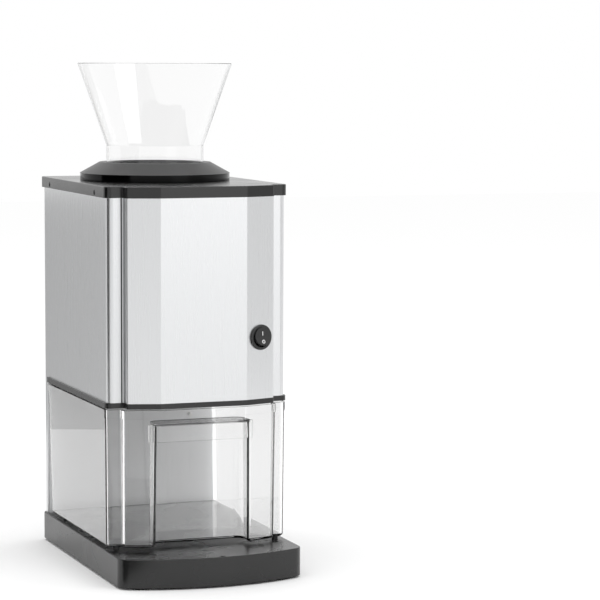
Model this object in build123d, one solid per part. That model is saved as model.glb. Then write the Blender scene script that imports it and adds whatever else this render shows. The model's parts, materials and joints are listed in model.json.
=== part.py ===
from build123d import *
import os
from math import acos, atan2, cos, pi, radians, sin, sqrt, tan

# Electric ice crusher with a clear hopper on top and a clear drawer below.
# Sizes in mm. +X is right, +Z is up and the front faces -Y.
# Origin: on the table, under the middle of the machine's own box.

# ---- heights, from the table up ----
foot_height = 2.0
base_height = 26.0
bay_height = 130.6          # deck to the underside of the middle frame
frame_height = 4.8
panel_height = 185.9
lid_height = 10.2
collar_height = 16.8
hopper_height = 93.9        # collar top to hopper rim

# ---- plan sizes ----
body_width = 175.0
machine_depth = 285.2       # front of the base to the back of the lid
base_reach = 61.0           # base in front of the corner posts
base_bow = 19.6             # rise of the base's curved front
base_back_gap = 1.7         # back of the base, inside the back of the lid
post_width = 14.5
panel_gap = 2.4             # dark gap between a post and the front panel
panel_side = 10.2           # the panel's side walls in front of the posts
flat_width = 82.5
facet_angle = 17.0
corner_radius = 6.0
base_corner_radius = 13.0
bend_radius = 2.0
nose_radius = 3.0           # where the flat meets the facets
column_depth = 12.3         # steel rear column, front to back
throat_setback = 129.2      # hopper axis behind the post fronts

# ---- walls and clearances ----
steel = 1.0
moulding = 2.6              # walls of the moulded base
frame_floor = 2.4
lid_wall = 1.8
lid_top = 2.5
skirt_gap = 0.2
front_step = 0.5            # steel behind the lid's front
tab_height = 6.5            # steel inside the lid's skirt
fit_gap = 0.3               # loose fit between separate pieces
running_gap = 0.05          # radial, shafts and pins
screw_gap = 0.05
plate_gap = 0.3
bore_gap = 0.05
least_radius = 0.5
edge_rounding = 0.8         # outer edges of the mouldings

# ---- base ----
base_plate_thickness = 1.5
foot_radius = 10.5
foot_inset_x = 21.5
front_foot_inset = 24.5
rear_foot_inset = 22.0
foot_stud_radius = 2.5
foot_barb = 0.8
foot_barb_height = 2.0
boss_radius = 4.0
boss_inset = 11.0
front_boss_inset = 45.0
rear_boss_inset = 34.0
plinth_height = 10.0
plinth_wall = 3.0
gate_mark_x = 5.0
gate_mark_radius = 2.4
gate_mark_height = 0.6
gate_mark_setback = 4.0

# ---- screws: thread radius, head radius, head height, length ----
slot_width = 0.7
base_screw = (1.5, 3.0, 1.4, 11.0)
back_screw = (1.4, 2.8, 1.4, 5.0)
lid_screw = (1.4, 2.7, 1.2, 5.0)
flange_screw = (2.0, 3.6, 2.6, 11.5)
gear_plate_screw = (1.7, 3.0, 2.2, 9.0)
motor_screw = (1.5, 2.7, 1.6, 6.0)
comb_screw = (1.7, 3.2, 2.2, 6.5)
back_screw_spread = 0.7     # of the inner half width
lid_screw_front = 35.0      # behind the post fronts
lid_screw_back = 34.0       # before the lid's back
lid_screw_rise = 3.4        # above the lid's lower edge

# ---- steelwork ----
panel_flange = 7.5          # panel flange behind each post
tab_start = 12.0            # from the steel's front to its tabs inside the lid
frame_rim = 9.6             # solid rim of the middle frame

# ---- drawer ----
drawer_wall = 2.2
drawer_top_gap = 1.5
drawer_lift = 2.6           # drawer floor above the deck
drawer_inset = 0.8          # sides and post faces, inside the lid
drawer_draft = 0.8          # of the same, top to bottom
drawer_front_inset = 2.3    # bowed front, behind the outline of the lid
drawer_front_draft = 2.4
drawer_side_reach = 3.8     # bowed front past the panel, before its inset
drawer_back_gap = 2.0
drawer_back_draft = 9.0
drawer_edge = 2.8           # rounding along the floor
edge_steps = 3
bead_height = 7.6
bead_width = 0.6
crease_radius = 1.0         # inner corner beside each post
drawer_bend = 3.0           # outer corner where the facet begins
recess_past_flat = 2.0      # recess edge outside the flat of the front
recess_back = 6.5           # recess wall behind the post fronts
recess_draft = 1.0          # the recess widens towards the floor
recess_drop = 14.5          # rim to recess ceiling
recess_edge = 2.5
recess_corner = 7.0
lip_height = 15.4
lip_flat_inset = 3.5        # flat of the lip inside the recess edge
lip_setback = 4.2           # behind the flat of the front
lip_tuck = 6.3              # lip ends, past the recess sides
lip_corner = 1.0
peg_radius = 2.75
peg_inset_x = 10.3
peg_setback = 4.5
rear_peg_setback = 172.0

# ---- hopper and collar ----
neck_radius = 46.4
neck_height = 16.0          # straight neck above the collar
hopper_radius = 73.6
hopper_wall = 1.4
neck_seat = 4.0             # seat above the lid's top
throat_radius = 43.0
collar_radius = 71.4
collar_flare = 0.5
collar_band = 6.4
collar_top_radius = 53.1
spigot_wall = 1.8

# ---- crushing chamber ----
chamber_half_x = 45.0
chamber_half_y = 41.0
chamber_wall = 4.0
chamber_height = 108.9
flange_width = 11.0
flange_thickness = 4.0
plate_screw_inset = 7.0
plate_screw_rise = 12.0
plate_screw_drop = 18.0
flange_screw_inset = 5.0    # from the chamber's wall
flange_screw_spacing = 64.0  # side to side
drum_drop = 63.9            # drum axis below the lid's top plate
chute_wall = 2.0
chute_taper = 6.0
chute_flange = 6.0
chute_flange_thickness = 2.0
chute_clearance = 14.0      # behind the flange, in the frame's pocket
shaft_radius = 6.0
hub_radius = 16.0
hub_end_gap = 1.0
bush_radius = 9.0
blade_count = 5
blade_pitch = 16.0
blade_thickness = 3.0
blade_radius = 38.0
blade_root = 19.0
blade_arms = 3
arm_profile = (              # radius and share of one arm's turn
    (blade_root, 0.0),
    (blade_radius, 0.10),
    (blade_radius, 0.27),
    (blade_root, 0.62),
)
comb_thickness = 4.0
comb_height = 12.0
comb_spine = 3.0
comb_hub_gap = 4.0
clip_thickness = 1.2
clip_width = 3.0
clip_groove = 0.8
shaft_nose = 1.0
shaft_tail = 5.0

# ---- gears ----
pressure_angle = 25.0
tooth_play = 0.18           # thinning of each tooth at the pitch circle
output_teeth = 54
idler_small_teeth = 12
idler_large_teeth = 48
motor_teeth = 12
output_module = 1.5
motor_module = 1.25
output_face = 7.5
motor_face = 7.0
gear_side_gap = 2.0
gear_step = 1.5             # between the two gear planes
idler_offset = 25.0         # idler axle left of the drum axis
gear_plate_thickness = 3.0
gear_plate_standoff = 7.6
motor_plate_thickness = 2.5
axle_radius = 4.0
pillar_radius = 4.0
rivet_radius = 2.4
rivet_head = 3.8
rivet_head_height = 1.2
plate_margin = 8.0
gear_hub_wall = 5.0
gear_rim = 6.0              # inside the pitch circle
gear_dish = 0.3             # of the face, hollowed on each side
tooth_depth = 1.25          # below the pitch circle, in modules
shaft_clearance = 1.0       # round the shaft in the gear plate
idler_hub_wall = 2.5
pillar_past_motor = 6.0
pillar_past_gear = 14.0
pillar_drop = 19.0          # below the motor's axis
pillar_rise = 26.0          # above the motor's axis
side_pillar_drop = 10.0     # below the drum's axis

# ---- motor ----
motor_radius = 30.0
motor_length = 47.0
can_wall = 2.0
bell_thickness = 2.5
motor_shaft_radius = 2.5
bearing_boss_radius = 6.0
bearing_boss_length = 2.0
core_radius = 20.0
core_length = 30.0
commutator_radius = 8.0
commutator_length = 7.0
magnet_gap = 1.0
fan_radius = 22.0
fan_blades = 7
fan_width = 5.0
fan_back_gap = 2.5
motor_screw_circle = 18.0
bell_vents = 6
bell_vent_circle = 18.6
bell_vent_radius = 4.2
core_slots = 9
core_slot_radius = 1.2
magnet_seat_gap = 0.02
magnet_spacing = 12.0       # half the gap between the magnets
fan_plate = 1.2
fan_hub_wall = 3.0
rotor_tail = 1.0

# ---- switch on the right facet ----
switch_drop = 129.0         # below the underside of the lid
bezel_radius = 11.75
bezel_height = 2.0
switch_body_radius = 9.9
switch_depth = 20.0
well_radius = 9.2
well_depth = 8.5
rocker_gap = 0.8            # radial, in the well
rocker_tilt = 10.0
pivot_depth = 1.5
rocker_rise = 2.6           # rocker ends above the bezel
rocker_dip = 1.6            # rocker middle above the bezel
rocker_skirt = 1.0
rocker_keel = 2.0           # below the pivot
trunnion_radius = 1.2
trunnion_length = 1.0
terminal_width = 4.8
terminal_thickness = 0.8
terminal_length = 8.0
terminal_spacing = 8.0

# ---- drawer interlock, mains inlet ----
bay_wall = 2.0
bay_wall_setback = 1.0      # before the rear column
interlock_inset = 27.5       # from the side of the lid
interlock_height = 92.0     # above the deck
plunger_radius = 2.0
plunger_collar = 3.0
plunger_travel = 2.5
bracket_size = (22.0, 4.4, 16.0)
microswitch_size = (20.0, 5.4, 10.0)
contact_size = (2.4, 1.3, 4.0)
contact_spacing = 7.0
gland_x = 0.0
gland_height = 26.0         # above the deck
gland_radius = 8.5
gland_flange = 2.0
gland_body_radius = 6.0
gland_bore = 3.6
gland_nut_radius = 8.5
gland_nut_length = 4.0
gland_tail = 6.0
terminal_block_size = (36.0, 9.0, 14.0)
terminal_block_rise = 30.0
wire_hole = 1.8
clamp_hole = 1.6
vent_count = 6
vent_width = 70.0
vent_slot = 3.0
vent_pitch = 8.0
vent_drop = 120.0

# ---- worked out from the sizes above ----
half_width = body_width / 2
deck_z = foot_height + base_height
frame_z = deck_z + bay_height
panel_z = frame_z + frame_height
lid_z = panel_z + panel_height
top_z = lid_z + lid_height
lid_under_z = top_z - lid_top
collar_top_z = top_z + collar_height
rim_z = collar_top_z + hopper_height
front_y = -machine_depth / 2
back_y = machine_depth / 2
base_back_y = back_y - base_back_gap
post_y = front_y + base_reach
panel_half = half_width - post_width - panel_gap
flat_half = flat_width / 2
facet_slope = tan(radians(facet_angle))
facet_cos = cos(radians(facet_angle))
facet_y = post_y - panel_side
nose_y = facet_y - (panel_half - flat_half) * facet_slope
throat_y = post_y + throat_setback
steel_half = half_width - lid_wall - skirt_gap
steel_back = back_y - lid_wall - skirt_gap
steel_front = post_y + front_step
column_y = steel_back - column_depth
bay_wall_y = column_y - bay_wall_setback
bay_back_y = bay_wall_y + bay_wall
inner_half = steel_half - steel - plate_gap
inner_back = steel_back - steel - plate_gap

drum_z = lid_under_z - drum_drop
chamber_bottom_z = lid_under_z - chamber_height
chamber_front = throat_y - chamber_half_y - chamber_wall
chamber_back = throat_y + chamber_half_y + chamber_wall
gear_plate_back = chamber_front - gear_plate_standoff
gear_plate_front = gear_plate_back - gear_plate_thickness
output_back = gear_plate_front - gear_side_gap
output_front = output_back - output_face
idler_back = output_front - gear_step
idler_front = idler_back - motor_face
motor_plate_back = idler_front - gear_side_gap
motor_plate_front = motor_plate_back - motor_plate_thickness

output_centres = output_module * (output_teeth + idler_small_teeth) / 2
motor_centres = motor_module * (idler_large_teeth + motor_teeth) / 2
idler_x = -idler_offset
idler_z = drum_z - sqrt(output_centres ** 2 - idler_offset ** 2)
motor_x = 0.0
motor_z = idler_z - sqrt(motor_centres ** 2 - idler_offset ** 2)

switch_z = lid_z - switch_drop
switch_x = (panel_half + flat_half) / 2
switch_y = facet_y + front_step / facet_cos - (panel_half - switch_x) * facet_slope
facet_tangent = (facet_cos, sin(radians(facet_angle)), 0)
facet_normal = (sin(radians(facet_angle)), -facet_cos, 0)

rocker_radius = well_radius - rocker_gap
recess_half = flat_half + recess_past_flat
drawer_bottom_z = deck_z + drawer_lift
drawer_top_z = frame_z - drawer_top_gap
recess_z = drawer_top_z - recess_drop
lip_bottom_z = recess_z - lip_height
interlock_x = half_width - interlock_inset
interlock_z = deck_z + interlock_height


# ---------------------------------------------------------------- helpers
def block(x, y, z):
    # a box from three (low, high) pairs
    middle = [(low + high) / 2 for low, high in (x, y, z)]
    return Pos(*middle) * Box(x[1] - x[0], y[1] - y[0], z[1] - z[0])


def post(x, y, z, radius):
    # a cylinder standing up between the two heights in z
    return Pos(x, y, (z[0] + z[1]) / 2) * Cylinder(radius, z[1] - z[0])


def spindle(x, z, y, radius):
    # a cylinder lying along Y between the two values in y
    return Pos(x, (y[0] + y[1]) / 2, z) * Rot(90, 0, 0) * Cylinder(radius, y[1] - y[0])


def crossbar(y, z, x, radius):
    # a cylinder lying along X between the two values in x
    return Pos((x[0] + x[1]) / 2, y, z) * Rot(0, 90, 0) * Cylinder(radius, x[1] - x[0])


def prism(face, low, high):
    return extrude(Pos(0, 0, low) * face, high - low)


def slab_xz(face, y):
    # a face drawn in X and Z, thickened between the two values in y
    return extrude(Plane((0, y[1], 0), (1, 0, 0), (0, -1, 0)) * face, y[1] - y[0])


def mirrored_face(right_points, right_radii):
    # closed outline from its right half, given back to front
    left_points = [(-x, y) for x, y in reversed(right_points)]
    radii = right_radii + list(reversed(right_radii))
    return make_face(FilletPolyline(*right_points, *left_points, radius=radii, close=True))


def screw(sizes, flat_head=False):
    # along -Z from the seat at z = 0, with its head above
    thread, head, head_height, length = sizes
    shank = Pos(0, 0, -length / 2) * Cylinder(thread, length)
    if flat_head:
        cone = Pos(0, 0, -head_height / 2) * Cone(thread, head, head_height)
        return shank + cone
    cap = Pos(0, 0, head_height / 2) * Cylinder(head, head_height)
    cap = fillet(cap.edges().group_by(Axis.Z)[-1], head_height * 0.4)
    slot = Pos(0, 0, head_height) * Box(3 * head, slot_width, head_height * 0.7)
    return shank + cap - slot


def aim(direction):
    # turns a screw drawn along Z so that its head points in the direction
    return Plane((0, 0, 0), z_dir=direction).location


# ---------------------------------------------------------------- plan outline
def facet_line(x, inset):
    return facet_y + inset / facet_cos - (panel_half - x) * facet_slope


def flat_end(inset):
    # half width of the front flat, on an outline drawn in by the inset
    return flat_half - inset * (1 / facet_cos - 1) / facet_slope


def plan_points(side, front, rear_y):
    # right half of the faceted plan, drawn in by two insets
    wall_x = panel_half - side
    return [
        (half_width - side, rear_y),
        (half_width - side, post_y + front),
        (wall_x, post_y + front),
        (wall_x, facet_line(wall_x, front)),
        (flat_end(front), nose_y + front),
    ]


def plan_face(inset=0.0, rear_y=back_y):
    corner = max(corner_radius - inset, least_radius)
    radii = [corner, corner, least_radius, max(bend_radius - inset, least_radius), nose_radius]
    return mirrored_face(plan_points(inset, inset, rear_y), radii)


def base_face(inset=0.0):
    side = half_width - inset
    rear = base_back_y - inset
    shoulder = front_y + base_bow + inset
    nose = (0, front_y + inset)
    outline = [
        Line((side, shoulder), (side, rear)),
        Line((side, rear), (-side, rear)),
        Line((-side, rear), (-side, shoulder)),
        ThreePointArc((-side, shoulder), nose, (side, shoulder)),
    ]
    face = make_face(outline)
    front = face.vertices().group_by(Axis.Y)[0]
    face = fillet(front, max(base_corner_radius - inset, least_radius))
    back = face.vertices().group_by(Axis.Y)[-1]
    return fillet(back, max(corner_radius - inset, least_radius))


# ---------------------------------------------------------------- base
def foot_places():
    x = half_width - foot_inset_x
    return [(sx * x, y) for sx in (-1, 1)
            for y in (front_y + front_foot_inset, base_back_y - rear_foot_inset)]


def boss_places():
    x = half_width - boss_inset
    return [(sx * x, y) for sx in (-1, 1)
            for y in (front_y + front_boss_inset, base_back_y - rear_boss_inset)]


def column_filler(inset, low_y, z):
    # block that fills the inside of the steel rear column, with its rounded corners
    half_x = inner_half - inset
    high_y = inner_back - inset
    radius = max(corner_radius - steel - inset, least_radius)
    right = [(half_x, high_y), (half_x, low_y)]
    return prism(mirrored_face(right, [radius, 0.0]), *z)


def back_screw_places():
    # through the back sheet into the plinth and into the middle frame
    low = deck_z + plinth_height / 2
    high = frame_z + frame_height / 2
    x = inner_half * back_screw_spread
    return [(sx * x, z) for sx in (-1, 1) for z in (low, high)]


def back_screw_holes():
    length = back_screw[3]
    holes = [spindle(x, z, (steel_back - length, steel_back + 1), back_screw[0] + screw_gap)
             for x, z in back_screw_places()]
    return Compound(holes)


def base_tray():
    plate_top = foot_height + base_plate_thickness
    shell = prism(base_face(), foot_height, deck_z)
    shell = fillet(shell.faces().sort_by(Axis.Z)[-1].outer_wire().edges(), edge_rounding)
    shell -= prism(base_face(moulding), foot_height, deck_z - moulding)
    for x, y in boss_places():
        shell += post(x, y, (plate_top, deck_z - moulding), boss_radius)
        hole_top = plate_top + base_screw[3]
        shell -= post(x, y, (plate_top, hole_top), base_screw[0] + screw_gap)
    plinth = column_filler(0.0, bay_back_y, (deck_z, deck_z + plinth_height))
    plinth -= column_filler(plinth_wall, bay_back_y + plinth_wall,
                            (deck_z, deck_z + plinth_height))
    shell += plinth
    shell -= back_screw_holes()
    mark_y = front_y + gate_mark_setback
    shell += post(gate_mark_x, mark_y, (deck_z, deck_z + gate_mark_height), gate_mark_radius)
    return shell


def base_plate():
    low, high = foot_height, foot_height + base_plate_thickness
    plate = prism(base_face(moulding + plate_gap), low, high)
    for x, y in foot_places():
        plate -= post(x, y, (low, high), foot_stud_radius + bore_gap)
    for x, y in boss_places():
        plate -= post(x, y, (low, high), base_screw[0] + screw_gap)
    return plate


def base_feet():
    plate_top = foot_height + base_plate_thickness
    feet = []
    for x, y in foot_places():
        pad = post(x, y, (0, foot_height), foot_radius)
        pad = fillet(pad.edges().group_by(Axis.Z)[0], edge_rounding)
        stud = post(x, y, (foot_height, plate_top), foot_stud_radius)
        barb = Cone(foot_stud_radius + foot_barb, foot_stud_radius, foot_barb_height)
        barb = Pos(x, y, plate_top + foot_barb_height / 2) * barb
        feet.append(pad + stud + barb)
    return feet


def base_screws():
    turn = aim((0, 0, -1))
    return [Pos(x, y, foot_height) * turn * screw(base_screw) for x, y in boss_places()]


# ---------------------------------------------------------------- steelwork
def switch_plane():
    return Plane((switch_x, switch_y, switch_z), facet_tangent, facet_normal)


def lid_screw_places():
    z = lid_z + lid_screw_rise
    return [(side, y, z) for side in (-1, 1)
            for y in (post_y + lid_screw_front, back_y - lid_screw_back)]


def lid_screw_holes(radius):
    length = lid_screw[3]
    holes = []
    for side, y, z in lid_screw_places():
        ends = sorted((side * (half_width + 1), side * (half_width - length)))
        holes.append(crossbar(y, z, ends, radius))
    return Compound(holes)


def rounded_rectangle(half_x, low_y, high_y, radius):
    depth = high_y - low_y
    return Pos(0, (low_y + high_y) / 2) * RectangleRounded(2 * half_x, depth, radius)


def housing_shell():
    outer = rounded_rectangle(steel_half, steel_front, steel_back, corner_radius)
    inner = rounded_rectangle(steel_half - steel, steel_front + steel, steel_back - steel,
                              corner_radius - steel)
    tab_z = lid_z + tab_height
    wrap = prism(outer, deck_z, tab_z) - prism(inner, deck_z, tab_z)
    wide = body_width
    opening = panel_half + panel_gap
    behind_posts = steel_front + corner_radius + steel
    wrap -= block((-wide, wide), (front_y, column_y), (deck_z, panel_z))
    wrap -= block((-opening, opening), (front_y, behind_posts), (deck_z, tab_z))
    wrap -= block((-wide, wide), (front_y, steel_front + tab_start), (lid_z, tab_z))
    wrap -= back_screw_holes()
    wrap -= lid_screw_holes(lid_screw[0] + screw_gap)
    gland_z = deck_z + gland_height
    wrap -= spindle(gland_x, gland_z, (steel_back - 2 * steel, back_y), gland_body_radius + bore_gap)
    for i in range(vent_count):
        z = lid_z - vent_drop + i * vent_pitch
        slot = Plane((0, back_y, z), (1, 0, 0), (0, -1, 0)) * SlotOverall(vent_width, vent_slot)
        wrap -= extrude(slot, back_y - steel_back + 2 * steel)
    return wrap


def panel_outline(inset):
    # front panel in plan: side walls, facets and flat, open to the back
    wall_x = panel_half - inset
    front = front_step + inset
    return wall_x, facet_line(wall_x, front), flat_end(front), nose_y + front


def front_panel():
    flange_y = steel_front + steel
    solids = []
    for inset in (0.0, steel):
        wall_x, side_y, flat_x, flat_y = panel_outline(inset)
        points = [(wall_x, flange_y + steel), (wall_x, side_y), (flat_x, flat_y)]
        radii = [0.0, max(bend_radius - inset / 2, least_radius), nose_radius]
        solids.append(prism(mirrored_face(points, radii), panel_z, lid_z))
    panel = solids[0] - solids[1]
    flange_end = panel_half + panel_flange
    for side in (-1, 1):
        ends = sorted((side * (panel_half - steel / 2), side * flange_end))
        panel += block(ends, (flange_y, flange_y + steel), (panel_z, lid_z))
    hole = Cylinder(switch_body_radius + fit_gap, 8 * steel)
    return panel - switch_plane().location * hole


def lower_frame():
    front_part = prism(plan_face(0.0, column_y - plate_gap), frame_z, panel_z)
    rear_part = column_filler(0.0, column_y - frame_height, (frame_z, panel_z))
    frame = front_part + rear_part
    flange_y = chamber_back - chute_taper + chute_flange
    pocket = prism(plan_face(frame_rim, flange_y + chute_clearance), frame_z + frame_floor, panel_z)
    frame -= pocket
    outlet_x, outlet_y = chute_opening()
    frame -= block((-outlet_x, outlet_x), (throat_y - outlet_y, throat_y + outlet_y),
                   (frame_z, panel_z))
    return frame - back_screw_holes()


def bay_back_wall():
    wall = block((-inner_half, inner_half), (bay_wall_y, bay_back_y), (deck_z, frame_z))
    wall -= spindle(interlock_x, interlock_z, (bay_wall_y, bay_back_y), plunger_radius + running_gap)
    return wall


def back_screws():
    turn = aim((0, 1, 0))
    return [Pos(x, steel_back, z) * turn * screw(back_screw) for x, z in back_screw_places()]


# ---------------------------------------------------------------- lid, collar, hopper
def flange_screw_places():
    x = flange_screw_spacing / 2
    y = chamber_half_y + chamber_wall + flange_screw_inset
    return [(sx * x, throat_y + sy * y) for sx in (-1, 1) for sy in (-1, 1)]


def top_cover():
    cover = prism(plan_face(), lid_z, top_z)
    cover = fillet(cover.faces().sort_by(Axis.Z)[-1].outer_wire().edges(), edge_rounding)
    cover -= prism(plan_face(lid_wall, back_y - lid_wall), lid_z, lid_under_z)
    cover -= post(0, throat_y, (lid_under_z, top_z), throat_radius + spigot_wall + fit_gap)
    for x, y in flange_screw_places():
        cover -= post(x, y, (lid_under_z, top_z), flange_screw[0] + screw_gap)
    cover -= lid_screw_holes(lid_screw[0] + screw_gap)
    for side, y, z in lid_screw_places():
        sink = Cone(lid_screw[1], lid_screw[0], lid_screw[2])
        middle = side * (half_width - lid_screw[2] / 2)
        cover -= Pos(middle, y, z) * Rot(0, -90 * side, 0) * sink
    return cover


def lid_screws():
    return [Pos(side * half_width, y, z) * aim((side, 0, 0)) * screw(lid_screw, True)
            for side, y, z in lid_screw_places()]


def ring(points):
    # a solid of revolution about the hopper's axis, from (radius, height) points
    outline = make_face(Polyline(*[(r, 0, z) for r, z in points], close=True))
    return Pos(0, throat_y, 0) * revolve(outline, Axis.Z)


def hopper_collar():
    seat_z = top_z + neck_seat
    band_z = top_z + collar_band
    spigot_z = lid_under_z + fit_gap
    body = ring([
        (throat_radius, spigot_z),
        (throat_radius + spigot_wall, spigot_z),
        (throat_radius + spigot_wall, top_z),
        (collar_radius, top_z),
        (collar_radius, band_z),
        (collar_radius + collar_flare, band_z),
        (collar_top_radius, collar_top_z),
        (neck_radius + fit_gap, collar_top_z),
        (neck_radius + fit_gap, seat_z),
        (throat_radius, seat_z),
    ])
    depth = flange_screw[3] - flange_thickness - lid_top
    for x, y in flange_screw_places():
        body -= post(x, y, (top_z, top_z + depth), flange_screw[0] + screw_gap)
    return body


def hopper():
    seat_z = top_z + neck_seat
    knee_z = collar_top_z + neck_height
    slope = (hopper_radius - neck_radius) / (rim_z - knee_z)
    side_wall = hopper_wall * sqrt(1 + slope ** 2)
    inner_neck = neck_radius - hopper_wall
    inner_rim = hopper_radius - side_wall
    inner_knee_z = rim_z - (inner_rim - inner_neck) / slope
    return ring([
        (inner_neck, seat_z),
        (neck_radius, seat_z),
        (neck_radius, knee_z),
        (hopper_radius, rim_z),
        (inner_rim, rim_z),
        (inner_neck, inner_knee_z),
    ])


# ---------------------------------------------------------------- crushing chamber
def gear_plate_screw_places():
    x = chamber_half_x - plate_screw_inset
    return [(sx * x, z) for sx in (-1, 1)
            for z in (chamber_bottom_z + plate_screw_rise, lid_under_z - plate_screw_drop)]


def comb_screw_places():
    return [throat_y - blade_pitch, throat_y + blade_pitch]


def crushing_chamber():
    half_x = chamber_half_x + chamber_wall
    half_y = chamber_half_y + chamber_wall
    y = (throat_y - half_y, throat_y + half_y)
    body = block((-half_x, half_x), y, (chamber_bottom_z, lid_under_z))
    rim = (lid_under_z - flange_thickness, lid_under_z)
    body += block((-half_x - flange_width, half_x + flange_width),
                  (y[0] - flange_width, y[1] + flange_width), rim)
    bush = shaft_bush_ends()
    body += spindle(0, drum_z, (bush[0][0], y[0]), bush_radius + chamber_wall)
    body += spindle(0, drum_z, (y[1], bush[1][1]), bush_radius + chamber_wall)
    for x, z in gear_plate_screw_places():
        body += spindle(x, z, (gear_plate_back, y[0]), boss_radius)
        depth = gear_plate_screw[3] - gear_plate_thickness
        body -= spindle(x, z, (gear_plate_back, gear_plate_back + depth),
                        gear_plate_screw[0] + screw_gap)
    body -= block((-chamber_half_x, chamber_half_x),
                  (throat_y - chamber_half_y, throat_y + chamber_half_y),
                  (chamber_bottom_z, lid_under_z))
    body -= spindle(0, drum_z, (bush[0][0], bush[1][1]), bush_radius + bore_gap)
    for screw_x, screw_y in flange_screw_places():
        body -= post(screw_x, screw_y, rim, flange_screw[0] + screw_gap)
    for screw_y in comb_screw_places():
        body -= crossbar(screw_y, drum_z, (chamber_half_x, half_x), comb_screw[0] + screw_gap)
    return body


def flange_screws():
    turn = aim((0, 0, -1))
    seat = lid_under_z - flange_thickness
    return [Pos(x, y, seat) * turn * screw(flange_screw) for x, y in flange_screw_places()]


def chute_opening():
    half_x = chamber_half_x - chute_taper + chute_wall
    half_y = chamber_half_y - chute_taper + chute_wall
    return half_x, half_y


def outlet_chute():
    floor_z = frame_z + frame_floor
    top_x = chamber_half_x + chamber_wall
    top_y = chamber_half_y + chamber_wall
    low_x = top_x - chute_taper
    low_y = top_y - chute_taper

    def funnel(wall):
        low = Pos(0, throat_y, floor_z) * Rectangle(2 * (low_x - wall), 2 * (low_y - wall))
        high = Pos(0, throat_y, chamber_bottom_z) * Rectangle(2 * (top_x - wall), 2 * (top_y - wall))
        return loft([low, high])

    duct = funnel(0.0)
    duct += block((-low_x - chute_flange, low_x + chute_flange),
                  (throat_y - low_y - chute_flange, throat_y + low_y + chute_flange),
                  (floor_z, floor_z + chute_flange_thickness))
    return duct - funnel(chute_wall)


def shaft_bush_ends():
    front = (gear_plate_back, throat_y - chamber_half_y)
    rear = (throat_y + chamber_half_y, chamber_back + gear_plate_standoff)
    return front, rear


def bush(ends):
    body = spindle(0, drum_z, ends, bush_radius)
    return body - spindle(0, drum_z, ends, shaft_radius + running_gap)


def front_bush():
    return bush(shaft_bush_ends()[0])


def rear_bush():
    return bush(shaft_bush_ends()[1])


def shaft_end():
    return shaft_bush_ends()[1][1] + fit_gap + clip_thickness + shaft_tail


def clip_range():
    low = shaft_bush_ends()[1][1] + fit_gap
    return low, low + clip_thickness


def drum_shaft():
    shaft = spindle(0, drum_z, (output_front - shaft_nose, shaft_end()), shaft_radius)
    groove = spindle(0, drum_z, clip_range(), shaft_radius)
    groove -= spindle(0, drum_z, clip_range(), shaft_radius - clip_groove)
    return shaft - groove


def shaft_clip():
    # open spring ring in the groove at the shaft's back end
    low, high = clip_range()
    inner = shaft_radius - clip_groove
    body = spindle(0, drum_z, (low, high), inner + clip_width)
    body -= spindle(0, drum_z, (low, high), inner)
    mouth = shaft_radius * 0.6
    return body - block((-mouth, mouth), (low, high), (drum_z - 2 * shaft_radius, drum_z - mouth))


def drum_hub():
    reach = chamber_half_y - hub_end_gap
    ends = (throat_y - reach, throat_y + reach)
    return spindle(0, drum_z, ends, hub_radius) - spindle(0, drum_z, ends, shaft_radius)


def drum_blade(index):
    # toothed disc with hooked arms, each turned a step from the last
    step = 2 * pi / blade_arms
    start = index * step / blade_count
    points = []
    for arm in range(blade_arms):
        angle = start + arm * step
        for radius, share in arm_profile:
            turn = angle + share * step
            points.append((radius * cos(turn), drum_z + radius * sin(turn)))
    middle = throat_y + (index - (blade_count - 1) / 2) * blade_pitch
    ends = (middle - blade_thickness / 2, middle + blade_thickness / 2)
    plate = slab_xz(make_face(Polyline(*points, close=True)), ends)
    return plate - spindle(0, drum_z, ends, hub_radius)


def comb_blades():
    inner = hub_radius + comb_hub_gap
    low, high = drum_z - comb_height / 2, drum_z + comb_height / 2
    span = (blade_count - 1) * blade_pitch / 2
    comb = block((chamber_half_x - comb_spine, chamber_half_x),
                 (throat_y - span, throat_y + span), (low, high))
    for i in range(blade_count - 1):
        y = throat_y - span + (i + 0.5) * blade_pitch
        finger = block((inner, chamber_half_x), (y - comb_thickness / 2, y + comb_thickness / 2),
                       (low, high))
        comb += finger
    for y in comb_screw_places():
        comb -= crossbar(y, drum_z, (chamber_half_x - comb_spine, chamber_half_x),
                         comb_screw[0] + screw_gap)
    return comb


def comb_screws():
    seat = chamber_half_x + chamber_wall
    return [Pos(seat, y, drum_z) * aim((1, 0, 0)) * screw(comb_screw) for y in comb_screw_places()]


# ---------------------------------------------------------------- gears
def involute(angle):
    return tan(angle) - angle


def gear(teeth, module, x, z, y, phase):
    # spur gear about Y with a tooth centred at the phase angle, from +X towards +Z
    pitch_radius = module * teeth / 2
    slant = radians(pressure_angle)
    base_radius = pitch_radius * cos(slant)
    root = pitch_radius - tooth_depth * module
    tip = pitch_radius + module
    half = (pi * module / 2 - tooth_play) / 2 / pitch_radius
    foot = max(base_radius, root)

    def flank(radius):
        return half + involute(slant) - involute(acos(min(1.0, base_radius / radius)))

    def place(radius, angle):
        return (radius * cos(angle), radius * sin(angle))

    middle = (foot + tip) / 2
    edges = []
    step = 2 * pi / teeth
    for i in range(teeth):
        centre = phase + i * step
        rise = [place(r, centre - flank(r)) for r in (foot, middle, tip)]
        fall = [place(r, centre + flank(r)) for r in (tip, middle, foot)]
        root_in = place(root, centre - flank(foot))
        root_out = place(root, centre + flank(foot))
        next_root = place(root, centre + step - flank(foot))
        if foot > root + 0.001:
            edges.append(Line(root_in, rise[0]))
            edges.append(Line(fall[2], root_out))
        edges.append(ThreePointArc(*rise))
        edges.append(Line(rise[2], fall[0]))
        edges.append(ThreePointArc(*fall))
        edges.append(Line(root_out, next_root))
    face = make_face(edges)
    return Plane((x, y[1], z), (1, 0, 0), (0, -1, 0)) * extrude(face, y[1] - y[0])


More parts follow.
